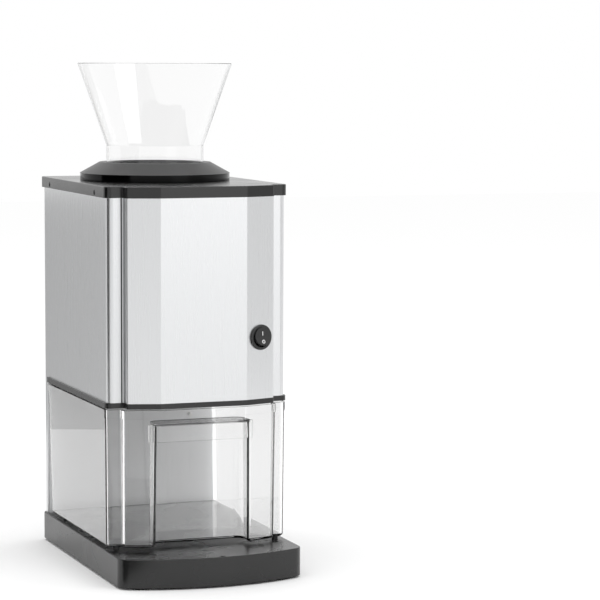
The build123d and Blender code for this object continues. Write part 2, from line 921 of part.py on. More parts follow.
def gear_phases():
    to_idler = atan2(idler_z - drum_z, idler_x)
    to_motor = atan2(motor_z - idler_z, motor_x - idler_x)
    return to_idler, to_motor


def output_gear():
    to_idler, _ = gear_phases()
    y = (output_front, output_back)
    hub_y = (output_front, gear_plate_front - fit_gap)
    wheel = gear(output_teeth, output_module, 0, drum_z, y, to_idler)
    hub = shaft_radius + gear_hub_wall
    wheel += spindle(0, drum_z, hub_y, hub)
    web = output_module * output_teeth / 2 - gear_rim
    depth = output_face * gear_dish
    for side in ((y[0], y[0] + depth), (y[1] - depth, y[1])):
        dish = spindle(0, drum_z, side, web) - spindle(0, drum_z, side, hub)
        wheel -= dish
    return wheel - spindle(0, drum_z, hub_y, shaft_radius)


def idler_gear():
    to_idler, to_motor = gear_phases()
    small_phase = to_idler + pi + pi / idler_small_teeth
    large_y = (idler_front, idler_back)
    small_y = (idler_back, output_back)
    body = gear(idler_large_teeth, motor_module, idler_x, idler_z, large_y, to_motor)
    body += gear(idler_small_teeth, output_module, idler_x, idler_z, small_y, small_phase)
    hub_y = (motor_plate_back + fit_gap, gear_plate_front - fit_gap)
    body += spindle(idler_x, idler_z, hub_y, axle_radius + idler_hub_wall)
    return body - spindle(idler_x, idler_z, hub_y, axle_radius + running_gap)


def motor_pinion():
    _, to_motor = gear_phases()
    phase = to_motor + pi + pi / motor_teeth
    y = (idler_front, idler_back)
    pinion = gear(motor_teeth, motor_module, motor_x, motor_z, y, phase)
    return pinion - spindle(motor_x, motor_z, y, motor_shaft_radius)


def riveted_bar(x, z, radius):
    # bar between the two gear plates, with a riveted head through each plate
    bar = spindle(x, z, (motor_plate_back, gear_plate_front), radius)
    bar += spindle(x, z, (motor_plate_front, gear_plate_back), rivet_radius)
    for low in (motor_plate_front - rivet_head_height, gear_plate_back):
        bar += spindle(x, z, (low, low + rivet_head_height), rivet_head)
    return bar


def idler_axle():
    return riveted_bar(idler_x, idler_z, axle_radius)


def pillar_places():
    side = motor_radius + pillar_past_motor
    low = motor_z - pillar_drop
    high = motor_z + pillar_rise
    far = output_module * (output_teeth / 2 + 1) + pillar_radius + pillar_past_gear
    return [(-side, low), (side, low), (side, high), (-far, drum_z - side_pillar_drop)]


def gear_pillars():
    return [riveted_bar(x, z, pillar_radius) for x, z in pillar_places()]


def plate_blank(points, y):
    # plate with its corners rounded round the given points
    radius = plate_margin
    rims = []
    for px, pz in points:
        rims += (Pos(px, pz) * Circle(radius)).edges()
    return slab_xz(make_hull(rims), y)


def rivet_holes(y):
    holes = [spindle(x, z, y, rivet_radius + screw_gap)
             for x, z in pillar_places() + [(idler_x, idler_z)]]
    return Compound(holes)


def gear_plate():
    y = (gear_plate_front, gear_plate_back)
    plate = plate_blank(pillar_places() + gear_plate_screw_places(), y)
    plate -= spindle(0, drum_z, y, shaft_radius + shaft_clearance)
    for x, z in gear_plate_screw_places():
        plate -= spindle(x, z, y, gear_plate_screw[0] + screw_gap)
    return plate - rivet_holes(y)


def gear_plate_screws():
    turn = aim((0, -1, 0))
    return [Pos(x, gear_plate_front, z) * turn * screw(gear_plate_screw)
            for x, z in gear_plate_screw_places()]


def motor_screw_places():
    _, to_motor = gear_phases()
    angles = (to_motor + pi / 2, to_motor - pi / 2)
    return [(motor_x + motor_screw_circle * cos(a), motor_z + motor_screw_circle * sin(a))
            for a in angles]


def motor_plate():
    y = (motor_plate_front, motor_plate_back)
    plate = plate_blank(pillar_places(), y)
    plate -= spindle(motor_x, motor_z, y, bearing_boss_radius + fit_gap)
    for x, z in motor_screw_places():
        plate -= spindle(x, z, y, motor_screw[0] + screw_gap)
    return plate - rivet_holes(y)


# ---------------------------------------------------------------- motor
def motor_ends():
    front_bell = (motor_plate_front - bell_thickness, motor_plate_front)
    can = (front_bell[0] - motor_length, front_bell[0])
    rear_bell = (can[0] - bell_thickness, can[0])
    return front_bell, can, rear_bell


def motor_can():
    _, can, _ = motor_ends()
    body = spindle(motor_x, motor_z, can, motor_radius)
    return body - spindle(motor_x, motor_z, can, motor_radius - can_wall)


def motor_front_bell():
    bell, _, _ = motor_ends()
    boss = (bell[0], bell[1] + bearing_boss_length)
    body = spindle(motor_x, motor_z, bell, motor_radius)
    body += spindle(motor_x, motor_z, boss, bearing_boss_radius)
    body -= spindle(motor_x, motor_z, boss, motor_shaft_radius + running_gap)
    for x, z in motor_screw_places():
        body -= spindle(x, z, bell, motor_screw[0] + screw_gap)
    return body


def motor_rear_bell():
    _, _, bell = motor_ends()
    body = spindle(motor_x, motor_z, bell, motor_radius)
    for i in range(bell_vents):
        angle = i * 2 * pi / bell_vents
        x = motor_x + bell_vent_circle * cos(angle)
        z = motor_z + bell_vent_circle * sin(angle)
        body -= spindle(x, z, bell, bell_vent_radius)
    return body - spindle(motor_x, motor_z, bell, motor_shaft_radius + running_gap)


def fan_range():
    _, _, rear_bell = motor_ends()
    high = rear_bell[0] - fan_back_gap
    return high - fan_width, high


def armature():
    _, can, _ = motor_ends()
    middle = (can[0] + can[1]) / 2
    core = (middle - core_length / 2, middle + core_length / 2)
    rotor = spindle(motor_x, motor_z, (fan_range()[0] - rotor_tail, idler_back), motor_shaft_radius)
    rotor += spindle(motor_x, motor_z, core, core_radius)
    rotor += spindle(motor_x, motor_z, (core[0] - commutator_length, core[0]), commutator_radius)
    for i in range(core_slots):
        angle = i * 2 * pi / core_slots
        x = motor_x + core_radius * cos(angle)
        z = motor_z + core_radius * sin(angle)
        rotor -= spindle(x, z, core, core_slot_radius)
    return rotor


def field_magnets():
    # two curved magnets against the inside of the can
    _, can, _ = motor_ends()
    middle = (can[0] + can[1]) / 2
    y = (middle - core_length / 2, middle + core_length / 2)
    sleeve = spindle(motor_x, motor_z, y, motor_radius - can_wall - magnet_seat_gap)
    sleeve -= spindle(motor_x, motor_z, y, core_radius + magnet_gap)
    wide = motor_radius
    sleeve -= block((motor_x - wide, motor_x + wide), y,
                    (motor_z - magnet_spacing, motor_z + magnet_spacing))
    return list(sleeve.solids())


def motor_fan():
    low, high = fan_range()
    hub = motor_shaft_radius + fan_hub_wall
    fan = spindle(motor_x, motor_z, (high - fan_plate, high), fan_radius)
    fan += spindle(motor_x, motor_z, (low, high), hub)
    for i in range(fan_blades):
        vane = Box(fan_radius - hub, high - low, fan_plate)
        reach = (fan_radius + hub) / 2 - fan_plate
        turn = Rot(0, i * 360 / fan_blades, 0)
        fan += Pos(motor_x, (low + high) / 2, motor_z) * turn * Pos(reach, 0, 0) * vane
    return fan - spindle(motor_x, motor_z, (low, high), motor_shaft_radius)


def motor_screws():
    turn = aim((0, 1, 0))
    return [Pos(x, motor_plate_back, z) * turn * screw(motor_screw)
            for x, z in motor_screw_places()]


# ---------------------------------------------------------------- switch
def switch_housing():
    bezel = Pos(0, 0, bezel_height / 2) * Cylinder(bezel_radius, bezel_height)
    bezel = fillet(bezel.edges().group_by(Axis.Z)[-1], bezel_height * 0.45)
    body = bezel + Pos(0, 0, -switch_depth / 2) * Cylinder(switch_body_radius, switch_depth)
    well_height = well_depth + bezel_height
    body -= Pos(0, 0, bezel_height - well_height / 2) * Cylinder(well_radius, well_height)
    span = 2 * (rocker_radius + trunnion_length + fit_gap)
    body -= Pos(0, 0, -pivot_depth) * Rot(0, 90, 0) * Cylinder(trunnion_radius + running_gap, span)
    return switch_plane().location * body


def switch_rocker():
    # drawn level about its pivot, then tilted so that the upper half is pressed in
    top = bezel_height + pivot_depth
    reach = rocker_radius
    skirt = top - rocker_skirt
    ends = top + rocker_rise
    keel = reach * 0.6
    profile = [(-reach, skirt), (-reach, ends), (0, top + rocker_dip), (reach, ends),
               (reach, skirt), (keel, -rocker_keel), (-keel, -rocker_keel)]
    outline = make_face(Polyline(*[(0, y, z) for y, z in profile], close=True))
    rocker = extrude(outline, reach, dir=(1, 0, 0), both=True)
    rocker &= Cylinder(reach, 6 * top)
    span = 2 * (reach + trunnion_length)
    rocker += Rot(0, 90, 0) * Cylinder(trunnion_radius, span)
    return switch_plane().location * Pos(0, 0, -pivot_depth) * Rot(-rocker_tilt, 0, 0) * rocker


def switch_terminals():
    terminals = []
    for side in (-1, 1):
        tab = Box(terminal_width, terminal_thickness, terminal_length)
        place = Pos(0, side * terminal_spacing / 2, -switch_depth - terminal_length / 2)
        terminals.append(switch_plane().location * place * tab)
    return terminals


# ---------------------------------------------------------------- interlock and inlet
def interlock_bracket():
    width, depth, height = bracket_size
    y = (bay_back_y, bay_back_y + depth)
    body = block((interlock_x - width / 2, interlock_x + width / 2), y,
                 (interlock_z - height / 2, interlock_z + height / 2))
    return body - spindle(interlock_x, interlock_z, y, plunger_collar + fit_gap)


def microswitch():
    width, depth, height = microswitch_size
    low = bay_back_y + bracket_size[1]
    body = block((interlock_x - width / 2, interlock_x + width / 2), (low, low + depth),
                 (interlock_z - height / 2, interlock_z + height / 2))
    contact_width, contact_depth, contact_length = contact_size
    middle = low + depth / 2
    z = interlock_z - height / 2
    for i in (-1, 0, 1):
        x = interlock_x + i * contact_spacing
        body += block((x - contact_width / 2, x + contact_width / 2),
                      (middle - contact_depth / 2, middle + contact_depth / 2),
                      (z - contact_length, z))
    return body


def drawer_rear(z):
    return bay_wall_y - drawer_back_gap - drawer_share(z) * drawer_back_draft


def interlock_plunger():
    tip = drawer_rear(interlock_z + plunger_radius) + fit_gap
    collar_y = bay_back_y + plunger_travel + fit_gap
    end = bay_back_y + bracket_size[1] - fit_gap
    pin = spindle(interlock_x, interlock_z, (tip, end), plunger_radius)
    pin = fillet(pin.edges().group_by(Axis.Y)[0], plunger_radius * 0.5)
    return pin + spindle(interlock_x, interlock_z, (collar_y, end), plunger_collar)


def cable_gland():
    z = deck_z + gland_height
    outer = (steel_back, steel_back + gland_flange)
    inner = (inner_back - gland_tail, steel_back)
    body = spindle(gland_x, z, outer, gland_radius)
    body = fillet(body.edges().group_by(Axis.Y)[-1], gland_flange * 0.35)
    body += spindle(gland_x, z, inner, gland_body_radius)
    return body - spindle(gland_x, z, (inner[0], outer[1]), gland_bore)


def gland_nut():
    z = deck_z + gland_height
    high = steel_back - steel
    y = (high - gland_nut_length, high)
    nut = RegularPolygon(gland_nut_radius, 6) - Circle(gland_body_radius + screw_gap)
    return slab_xz(Pos(gland_x, z) * nut, y)


def terminal_block():
    width, depth, height = terminal_block_size
    z = deck_z + gland_height + terminal_block_rise
    y = (bay_back_y, bay_back_y + depth)
    body = block((gland_x - width / 2, gland_x + width / 2), y, (z, z + height))
    middle = (y[0] + y[1]) / 2
    for i in (-1, 0, 1):
        x = gland_x + i * width / 3
        body -= post(x, middle, (z, z + height), wire_hole)
        body -= spindle(x, z + height / 2, (middle, y[1]), clamp_hole)
    return body


# ---------------------------------------------------------------- drawer
def drawer_share(z):
    # 0 at the rim of the drawer, 1 at its floor
    return (drawer_top_z - z) / (drawer_top_z - drawer_bottom_z)


def drawer_front_y(z):
    # the flat of the bowed front
    return nose_y + drawer_front_inset + drawer_share(z) * drawer_front_draft


def drawer_face(z, inward=0.0, recessed=True):
    # horizontal section of the drawer at a height, drawn in by a wall
    side = drawer_inset + drawer_share(z) * drawer_draft + inward
    front = drawer_front_y(z) - nose_y + inward
    wall_x = panel_half + drawer_side_reach - side
    points = [
        (half_width - side, drawer_rear(z) - inward),
        (half_width - side, post_y + side),
        (wall_x, post_y + side),
        (wall_x, facet_line(wall_x, front)),
    ]
    corner = max(corner_radius - inward, least_radius)
    bend = max(drawer_bend - inward, least_radius)
    radii = [corner, corner, crease_radius + inward, bend]
    if recessed:
        edge_x = recess_half + drawer_share(z) * recess_draft + inward
        wall_y = post_y + recess_back + inward
        points += [(edge_x, facet_line(edge_x, front)), (edge_x, wall_y)]
        radii += [max(recess_edge - inward, least_radius), recess_corner + inward]
    else:
        points.append((flat_end(front), nose_y + front))
        radii.append(nose_radius)
    return Pos(0, 0, z) * mirrored_face(points, radii)


def drawer_tub(floor_z, ceiling_z, inward, edge):
    # the recessed lower part, with its floor edge rounded in a few steps
    sections = []
    for i in range(edge_steps + 1):
        turn = pi / 2 * i / edge_steps
        z = floor_z + edge * (1 - cos(turn))
        sections.append(drawer_face(z, inward + edge * (1 - sin(turn))))
    sections.append(drawer_face(ceiling_z, inward))
    return loft(sections, ruled=True)


def drawer_collar(low, high, inward):
    # the plain upper part, above the recess
    return loft([drawer_face(low, inward, False), drawer_face(high, inward, False)], ruled=True)


def drawer_outer():
    return drawer_tub(drawer_bottom_z, recess_z, 0.0, drawer_edge)


def drawer():
    floor_z = drawer_bottom_z + drawer_wall
    ceiling_z = recess_z + drawer_wall
    body = drawer_outer()
    body += drawer_collar(recess_z, drawer_top_z, 0.0)
    body += drawer_collar(drawer_top_z - bead_height, drawer_top_z, -bead_width)
    body -= drawer_tub(floor_z, ceiling_z, drawer_wall, drawer_edge - drawer_wall)
    body -= drawer_collar(ceiling_z, drawer_top_z, drawer_wall)
    return body + drawer_lip()


def drawer_lip():
    # the grip: an apron hanging across the front of the recess
    flat_x = recess_half - lip_flat_inset
    end_x = recess_half + lip_tuck
    front = drawer_front_y(recess_z) + lip_setback
    end_y = front + (end_x - flat_x) * facet_slope
    points = [(end_x, end_y + drawer_wall), (end_x, end_y), (flat_x, front)]
    outer = mirrored_face(points, [0.0, 0.0, lip_corner])
    inner_points = [(end_x, end_y + 2 * drawer_wall), (end_x, end_y + drawer_wall),
                    (flat_x, front + drawer_wall)]
    inner = mirrored_face(inner_points, [0.0, 0.0, lip_corner])
    apron = prism(outer, lip_bottom_z, recess_z + drawer_wall / 2)
    return apron - prism(inner, lip_bottom_z, recess_z)


def peg_places():
    x = half_width - peg_inset_x
    return [(sx * x, post_y + y) for sx in (-1, 1) for y in (peg_setback, rear_peg_setback)]


def drawer_feet():
    body = drawer_outer()
    feet = []
    for x, y in peg_places():
        peg = post(x, y, (deck_z, drawer_bottom_z + drawer_edge), peg_radius)
        rest = peg - body
        feet.append(rest.solids().sort_by(Axis.Z)[0])
    return feet


# ---------------------------------------------------------------- all the pieces
def pieces():
    made = {
        "base_tray": base_tray(),
        "base_plate": base_plate(),
        "base_feet": base_feet(),
        "base_screws": base_screws(),
        "housing_shell": housing_shell(),
        "front_panel": front_panel(),
        "lower_frame": lower_frame(),
        "bay_back_wall": bay_back_wall(),
        "back_screws": back_screws(),
        "top_cover": top_cover(),
        "lid_screws": lid_screws(),
        "hopper_collar": hopper_collar(),
        "hopper": hopper(),
        "crushing_chamber": crushing_chamber(),
        "flange_screws": flange_screws(),
        "outlet_chute": outlet_chute(),
        "comb_blades": comb_blades(),
        "comb_screws": comb_screws(),
        "front_bush": front_bush(),
        "rear_bush": rear_bush(),
        "drum_shaft": drum_shaft(),
        "shaft_clip": shaft_clip(),
        "drum_hub": drum_hub(),
        "output_gear": output_gear(),
        "idler_gear": idler_gear(),
        "idler_axle": idler_axle(),
        "motor_pinion": motor_pinion(),
        "gear_plate": gear_plate(),
        "gear_plate_screws": gear_plate_screws(),
        "gear_pillars": gear_pillars(),
        "motor_plate": motor_plate(),
        "motor_screws": motor_screws(),
        "motor_can": motor_can(),
        "motor_front_bell": motor_front_bell(),
        "motor_rear_bell": motor_rear_bell(),
        "field_magnets": field_magnets(),
        "armature": armature(),
        "motor_fan": motor_fan(),
        "switch_housing": switch_housing(),
        "switch_rocker": switch_rocker(),
        "switch_terminals": switch_terminals(),
        "interlock_bracket": interlock_bracket(),
        "interlock_plunger": interlock_plunger(),
        "microswitch": microswitch(),
        "cable_gland": cable_gland(),
        "gland_nut": gland_nut(),
        "terminal_block": terminal_block(),
        "drawer": drawer(),
        "drawer_feet": drawer_feet(),
    }
    for index in range(blade_count):
        made[f"drum_blade_{index + 1}"] = drum_blade(index)
    return made


def main():
    os.makedirs("parts", exist_ok=True)
    for name, shape in pieces().items():
        solids = shape if isinstance(shape, list) else list(shape.solids())
        whole = solids[0] if len(solids) == 1 else Compound(solids)
        export_step(whole, f"parts/{name}.step")


if __name__ == "__main__":
    main()
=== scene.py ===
import bmesh
import bpy
import json
import math
from mathutils import Matrix, Vector
from mathutils.bvhtree import BVHTree


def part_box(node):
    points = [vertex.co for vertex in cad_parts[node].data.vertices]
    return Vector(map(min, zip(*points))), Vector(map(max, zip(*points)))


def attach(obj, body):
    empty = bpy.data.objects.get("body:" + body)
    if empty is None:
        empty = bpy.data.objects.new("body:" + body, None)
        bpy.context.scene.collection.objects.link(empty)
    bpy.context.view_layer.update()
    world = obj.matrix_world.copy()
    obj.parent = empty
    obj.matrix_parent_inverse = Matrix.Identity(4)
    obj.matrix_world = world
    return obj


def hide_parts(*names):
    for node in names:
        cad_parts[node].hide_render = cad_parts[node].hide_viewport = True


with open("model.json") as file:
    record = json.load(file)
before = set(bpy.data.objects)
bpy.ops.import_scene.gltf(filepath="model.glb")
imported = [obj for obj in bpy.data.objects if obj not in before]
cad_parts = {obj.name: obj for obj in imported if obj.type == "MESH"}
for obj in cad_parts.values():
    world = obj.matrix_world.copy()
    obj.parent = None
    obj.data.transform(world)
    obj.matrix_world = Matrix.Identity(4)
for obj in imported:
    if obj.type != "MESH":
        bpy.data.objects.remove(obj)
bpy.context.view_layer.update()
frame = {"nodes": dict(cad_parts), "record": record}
mm = 0.001
print("frame loaded:", len(frame["nodes"]), "nodes")


def linearColour(hexText, alpha=1.0):
    # sRGB hex to the linear values that the shaders want
    channels = [int(hexText[i:i + 2], 16) / 255 for i in (1, 3, 5)]
    linear = [c / 12.92 if c <= 0.04045 else ((c + 0.055) / 1.055) ** 2.4 for c in channels]
    return (*linear, alpha)


def addNode(tree, kind, inputs=None, **settings):
    # a node with its settings; an input is a value, or the socket that feeds it
    node = tree.nodes.new(kind)
    for name, value in settings.items():
        setattr(node, name, value)
    for key, value in (inputs or {}).items():
        if isinstance(value, bpy.types.NodeSocket):
            tree.links.new(value, node.inputs[key])
        else:
            node.inputs[key].default_value = value
    return node


def newMaterial(name):
    material = bpy.data.materials.new(name)
    material.use_nodes = True
    material.node_tree.nodes.clear()
    return material, material.node_tree


def finishMaterial(tree, shaderSocket):
    addNode(tree, "ShaderNodeOutputMaterial", {"Surface": shaderSocket})


def objectPattern(tree, sizes, detail=2.0, roughness=0.5):
    # noise on object coordinates; sizes are its feature lengths along X, Y and Z in mm
    coords = addNode(tree, "ShaderNodeTexCoord")
    perMetre = Vector([1000 / s for s in sizes])
    mapping = addNode(tree, "ShaderNodeMapping", {"Vector": coords.outputs["Object"], "Scale": perMetre})
    noise = addNode(tree, "ShaderNodeTexNoise", {
        "Vector": mapping.outputs["Vector"], "Scale": 1.0, "Detail": detail, "Roughness": roughness,
    })
    return noise.outputs["Fac"]


noiseSpan = (0.3, 0.7)      # noise seldom leaves this span
grainDepth = 0.03           # mm, of a grain that names no relief of its own
surfaceIor = 1.53           # ABS and nylon; bare metal makes no use of it


def patternedShader(tree, s, tone, grain):
    # a surface whose colour and roughness drift with the tone, with its grain in relief
    share = addNode(tree, "ShaderNodeMapRange", {
        "Value": tone, "From Min": noiseSpan[0], "From Max": noiseSpan[1],
    })
    colour = addNode(tree, "ShaderNodeMix", {
        0: share.outputs["Result"], 6: linearColour(s["dark"]), 7: linearColour(s["pale"]),
    }, data_type="RGBA")
    low, high = s["roughness"]
    roughness = addNode(tree, "ShaderNodeMapRange", {
        "Value": share.outputs["Result"], "To Min": low, "To Max": high,
    })
    relief = addNode(tree, "ShaderNodeBump", {
        "Height": grain, "Strength": s["bump"], "Distance": s.get("relief", grainDepth) * mm,
    })
    return addNode(tree, "ShaderNodeBsdfPrincipled", {
        "Base Color": colour.outputs[2], "Roughness": roughness.outputs["Result"],
        "Metallic": s.get("metallic", 0.0), "IOR": s.get("ior", surfaceIor),
        "Normal": relief.outputs["Normal"],
    })


def aboveHeight(tree, height):
    # 1 above a height in mm, 0 below it
    coords = addNode(tree, "ShaderNodeTexCoord")
    axes = addNode(tree, "ShaderNodeSeparateXYZ", {"Vector": coords.outputs["Object"]})
    above = addNode(tree, "ShaderNodeMath", {0: axes.outputs["Z"], 1: height * mm}, operation="GREATER_THAN")
    return above.outputs[0]


def brushedStainless(name, s):
    # stainless sheet, belt-brushed upright: long fine streaks, reflections smeared sideways
    material, tree = newMaterial(name)
    width, length = s["streakWidth"], s["streakLength"]
    streak = objectPattern(tree, (width, width, length), detail=3.0, roughness=0.6)
    shader = patternedShader(tree, s, streak, streak)
    tangent = addNode(tree, "ShaderNodeTangent", direction_type="RADIAL", axis="Z")
    tree.links.new(tangent.outputs["Tangent"], shader.inputs["Tangent"])
    shader.inputs["Anisotropic"].default_value = s["anisotropic"]
    finishMaterial(tree, shader.outputs["BSDF"])
    return material


steelLook = {
    "dark": "#D4D5D6", "pale": "#D6D7D8", "metallic": 1.0, "roughness": (0.27, 0.29), "anisotropic": 0.6,
    "streakWidth": 0.8,     # real grain is about 0.1 mm; drawn wider so that it shows
    "streakLength": 60.0, "bump": 0.015, "relief": 0.02,
}


def bayWallSteel(name, s):
    # the same sheet, matt: its skin scatters most of the light, so it hardly mirrors
    material, tree = newMaterial(name)
    width, length = s["streakWidth"], s["streakLength"]
    streak = objectPattern(tree, (width, width, length))
    finishMaterial(tree, patternedShader(tree, s, streak, streak).outputs["BSDF"])
    return material


bayWallLook = {
    "dark": "#E0E1E2", "pale": "#E6E7E8", "metallic": 0.2, "roughness": (0.40, 0.50), "bump": 0.03,
    "streakWidth": 0.8, "streakLength": 40.0,
}

cloudSize = (45, 45, 45)    # mm, the slow drift of tone across a moulding


def mouldedPlastic(name, s):
    # injection-moulded plastic with a spark-eroded skin: soft gloss, tiny grain
    material, tree = newMaterial(name)
    grain = objectPattern(tree, (s["grain"],) * 3, detail=1.0)
    cloud = objectPattern(tree, cloudSize)
    finishMaterial(tree, patternedShader(tree, s, cloud, grain).outputs["BSDF"])
    return material


plasticLooks = {
    # glossy black ABS of the lid
    "coverAbs": {"dark": "#0E0E0E", "pale": "#121212", "roughness": (0.18, 0.24), "grain": 0.5, "bump": 0.06},
    # satin black ABS of the base
    "baseAbs": {"dark": "#111111", "pale": "#161616", "roughness": (0.24, 0.30), "grain": 0.6, "bump": 0.10},
    # the same, a shade deeper, of the middle frame
    "frameAbs": {"dark": "#0B0B0B", "pale": "#0F0F0F", "roughness": (0.24, 0.30), "grain": 0.6, "bump": 0.10},
    # polished black polycarbonate of the rocker and its bezel
    "switchBlack": {"dark": "#191919", "pale": "#1F1F1F", "roughness": (0.24, 0.30), "grain": 0.4,
                    "bump": 0.05},
    # glass-filled nylon: dull, mid grey
    "greyNylon": {"dark": "#6E6F72", "pale": "#7B7C7F", "roughness": (0.45, 0.55), "grain": 0.5,
                  "bump": 0.15},
    # unfilled nylon: milky, a little warm
    "naturalNylon": {"dark": "#D9D5C8", "pale": "#E5E2D6", "roughness": (0.40, 0.50), "grain": 0.5,
                     "bump": 0.08},
    # turned acetal: slippery, clean white
    "whiteAcetal": {"dark": "#E4E4E1", "pale": "#EFEFEC", "roughness": (0.25, 0.32), "grain": 0.4,
                    "bump": 0.04},
    # matt black polypropylene of the fan
    "fanBlack": {"dark": "#1A1A1B", "pale": "#222223", "roughness": (0.45, 0.55), "grain": 0.5, "bump": 0.10},
    # sintered ferrite magnets: dark and stony
    "ferrite": {"dark": "#2B2B2E", "pale": "#37373A", "roughness": (0.65, 0.80), "grain": 0.3, "bump": 0.30},
    # pad-printed white ink
    "markWhite": {"dark": "#D6D6D6", "pale": "#E2E2E2", "roughness": (0.45, 0.50), "grain": 0.3,
                  "bump": 0.05},
}


def collarPlastic(name, s):
    # one black moulding: satin cone over a polished upright band
    material, tree = newMaterial(name)
    grain = objectPattern(tree, (s["grain"],) * 3, detail=1.0)
    cloud = objectPattern(tree, cloudSize)
    band = patternedShader(tree, s["band"], cloud, grain)
    cone = patternedShader(tree, s["cone"], cloud, grain)
    mix = addNode(tree, "ShaderNodeMixShader", {
        0: aboveHeight(tree, s["bandTop"]), 1: band.outputs["BSDF"], 2: cone.outputs["BSDF"],
    })
    finishMaterial(tree, mix.outputs["Shader"])
    return material


collarLook = {
    "bandTop": 366.2,       # just above the band
    "grain": 0.6,
    # the band's low ior keeps it black where it faces the white studio
    "band": {"dark": "#040404", "pale": "#060606", "roughness": (0.10, 0.14), "ior": 1.25, "bump": 0.04},
    "cone": {"dark": "#222222", "pale": "#262626", "roughness": (0.34, 0.40), "bump": 0.12},
}


def clearPlastic(name, s):
    # clear moulded plastic: polished faces, lamps pass through; painted shade greys its colour where one
    # looks along the wall, in place of the dark edges that refraction gives
    material, tree = newMaterial(name)
    flow = objectPattern(tree, (s["flow"],) * 3, detail=0.0)
    relief = addNode(tree, "ShaderNodeBump",
                     {"Height": flow, "Strength": s["bump"], "Distance": s["relief"] * mm})
    # painted shade: as the view grazes the wall the colour turns from the tint to the edge shade
    facing = addNode(tree, "ShaderNodeLayerWeight", {"Blend": 0.5})
    along = addNode(tree, "ShaderNodeMapRange",
                    {"Value": facing.outputs["Facing"], "From Min": s["edgeShadeFrom"]})
    tint = addNode(tree, "ShaderNodeMix", {
        0: along.outputs["Result"], 6: linearColour(s["tint"]), 7: linearColour(s["paintedEdgeShade"]),
    }, data_type="RGBA")
    glass = addNode(tree, "ShaderNodeBsdfPrincipled", {
        "Base Color": tint.outputs[2], "Transmission Weight": 1.0,
        "IOR": s["ior"], "Roughness": s["roughness"], "Normal": relief.outputs["Normal"],
    })
    clear = addNode(tree, "ShaderNodeBsdfTransparent", {"Color": linearColour(s["shadow"])})
    path = addNode(tree, "ShaderNodeLightPath")
    mix = addNode(tree, "ShaderNodeMixShader", {
        0: path.outputs["Is Shadow Ray"], 1: glass.outputs["BSDF"], 2: clear.outputs["BSDF"],
    })
    finishMaterial(tree, mix.outputs["Shader"])
    return material


clearLooks = {
    # thin acrylic of the funnel: it shows mostly at its edges, greyed there by a strong painted edge shade
    "hopperClear": {"tint": "#FCFCFC", "paintedEdgeShade": "#8C8E90", "edgeShadeFrom": 0.72, "shadow": "#F2F2F2",
                    "ior": 1.49, "roughness": 0.0, "flow": 30, "relief": 0.2, "bump": 0.0},
    # thicker acrylic of the drawer, with a faint ripple from the mould and a faint painted edge shade where
    # one looks along the wall
    "drawerClear": {"tint": "#FCFCFC", "paintedEdgeShade": "#E8E9EA", "edgeShadeFrom": 0.80, "shadow": "#F6F6F6",
                    "ior": 1.49, "roughness": 0.0, "flow": 25, "relief": 0.2, "bump": 0.03},
}


def workedMetal(name, s):
    # cast, ground, turned or plated metal, by its grain, its relief and its roughness
    material, tree = newMaterial(name)
    grain = objectPattern(tree, s["grain"], roughness=0.6)
    look = {"metallic": 1.0, "relief": 0.05, **s}
    finishMaterial(tree, patternedShader(tree, look, grain, grain).outputs["BSDF"])
    return material


metalLooks = {
    # die-cast aluminium, sand-dull
    "castAluminium": {"dark": "#9C9DA0", "pale": "#B4B5B8", "roughness": (0.42, 0.55),
                      "grain": (0.8, 0.8, 0.8), "bump": 0.35},
    # ground stainless of the blades: short streaks across
    "groundStainless": {"dark": "#B9BABD", "pale": "#CFD0D3", "roughness": (0.22, 0.32),
                        "grain": (6, 6, 0.4), "bump": 0.12},
    # turned steel: fine rings round the shafts
    "turnedSteel": {"dark": "#9A9B9F", "pale": "#B0B1B5", "roughness": (0.28, 0.40),
                    "grain": (5, 0.4, 5), "bump": 0.12},
    # sintered bronze of the bushes: warm, dull, porous
    "sinteredBronze": {"dark": "#9A6E3E", "pale": "#B58750", "roughness": (0.45, 0.60),
                       "grain": (0.4, 0.4, 0.4), "bump": 0.25},
    # galvanised sheet: broad cloudy spangle
    "galvanisedSheet": {"dark": "#A3A6A9", "pale": "#BFC2C5", "roughness": (0.32, 0.46),
                        "grain": (7, 7, 7), "bump": 0.05},
    # zinc-plated screws: bright, a little yellow
    "zincPlate": {"dark": "#B2B3AF", "pale": "#C9CAC6", "roughness": (0.26, 0.34),
                  "grain": (0.6, 0.6, 0.6), "bump": 0.06},
    # nickel-plated terminals: smooth and warm
    "nickelPlate": {"dark": "#BDB7AA", "pale": "#CFC9BD", "roughness": (0.20, 0.28),
                    "grain": (0.6, 0.6, 0.6), "bump": 0.04},
    # black-oxide screws: dark with an oily gloss
    "blackOxide": {"dark": "#2A2A2C", "pale": "#353537", "roughness": (0.38, 0.48),
                   "grain": (0.5, 0.5, 0.5), "bump": 0.08},
}


def mouldedRubber(name, s):
    # soft black rubber: no gloss, a dusty bloom on it
    material, tree = newMaterial(name)
    bloom = objectPattern(tree, (s["bloom"],) * 3, detail=3.0, roughness=0.7)
    grain = objectPattern(tree, (s["grain"],) * 3, detail=1.0)
    finishMaterial(tree, patternedShader(tree, s, bloom, grain).outputs["BSDF"])
    return material


rubberLook = {"dark": "#101010", "pale": "#1B1B1B", "roughness": (0.7, 0.85), "bloom": 4, "grain": 0.5,
              "bump": 0.2}

finishes = {
    "brushedStainless": brushedStainless("brushedStainless", steelLook),
    "bayWallSteel": bayWallSteel("bayWallSteel", bayWallLook),
    "collarAbs": collarPlastic("collarAbs", collarLook),
    "mouldedRubber": mouldedRubber("mouldedRubber", rubberLook),
}
for lookName, look in plasticLooks.items():
    finishes[lookName] = mouldedPlastic(lookName, look)
for lookName, look in clearLooks.items():
    finishes[lookName] = clearPlastic(lookName, look)
for lookName, look in metalLooks.items():
    finishes[lookName] = workedMetal(lookName, look)

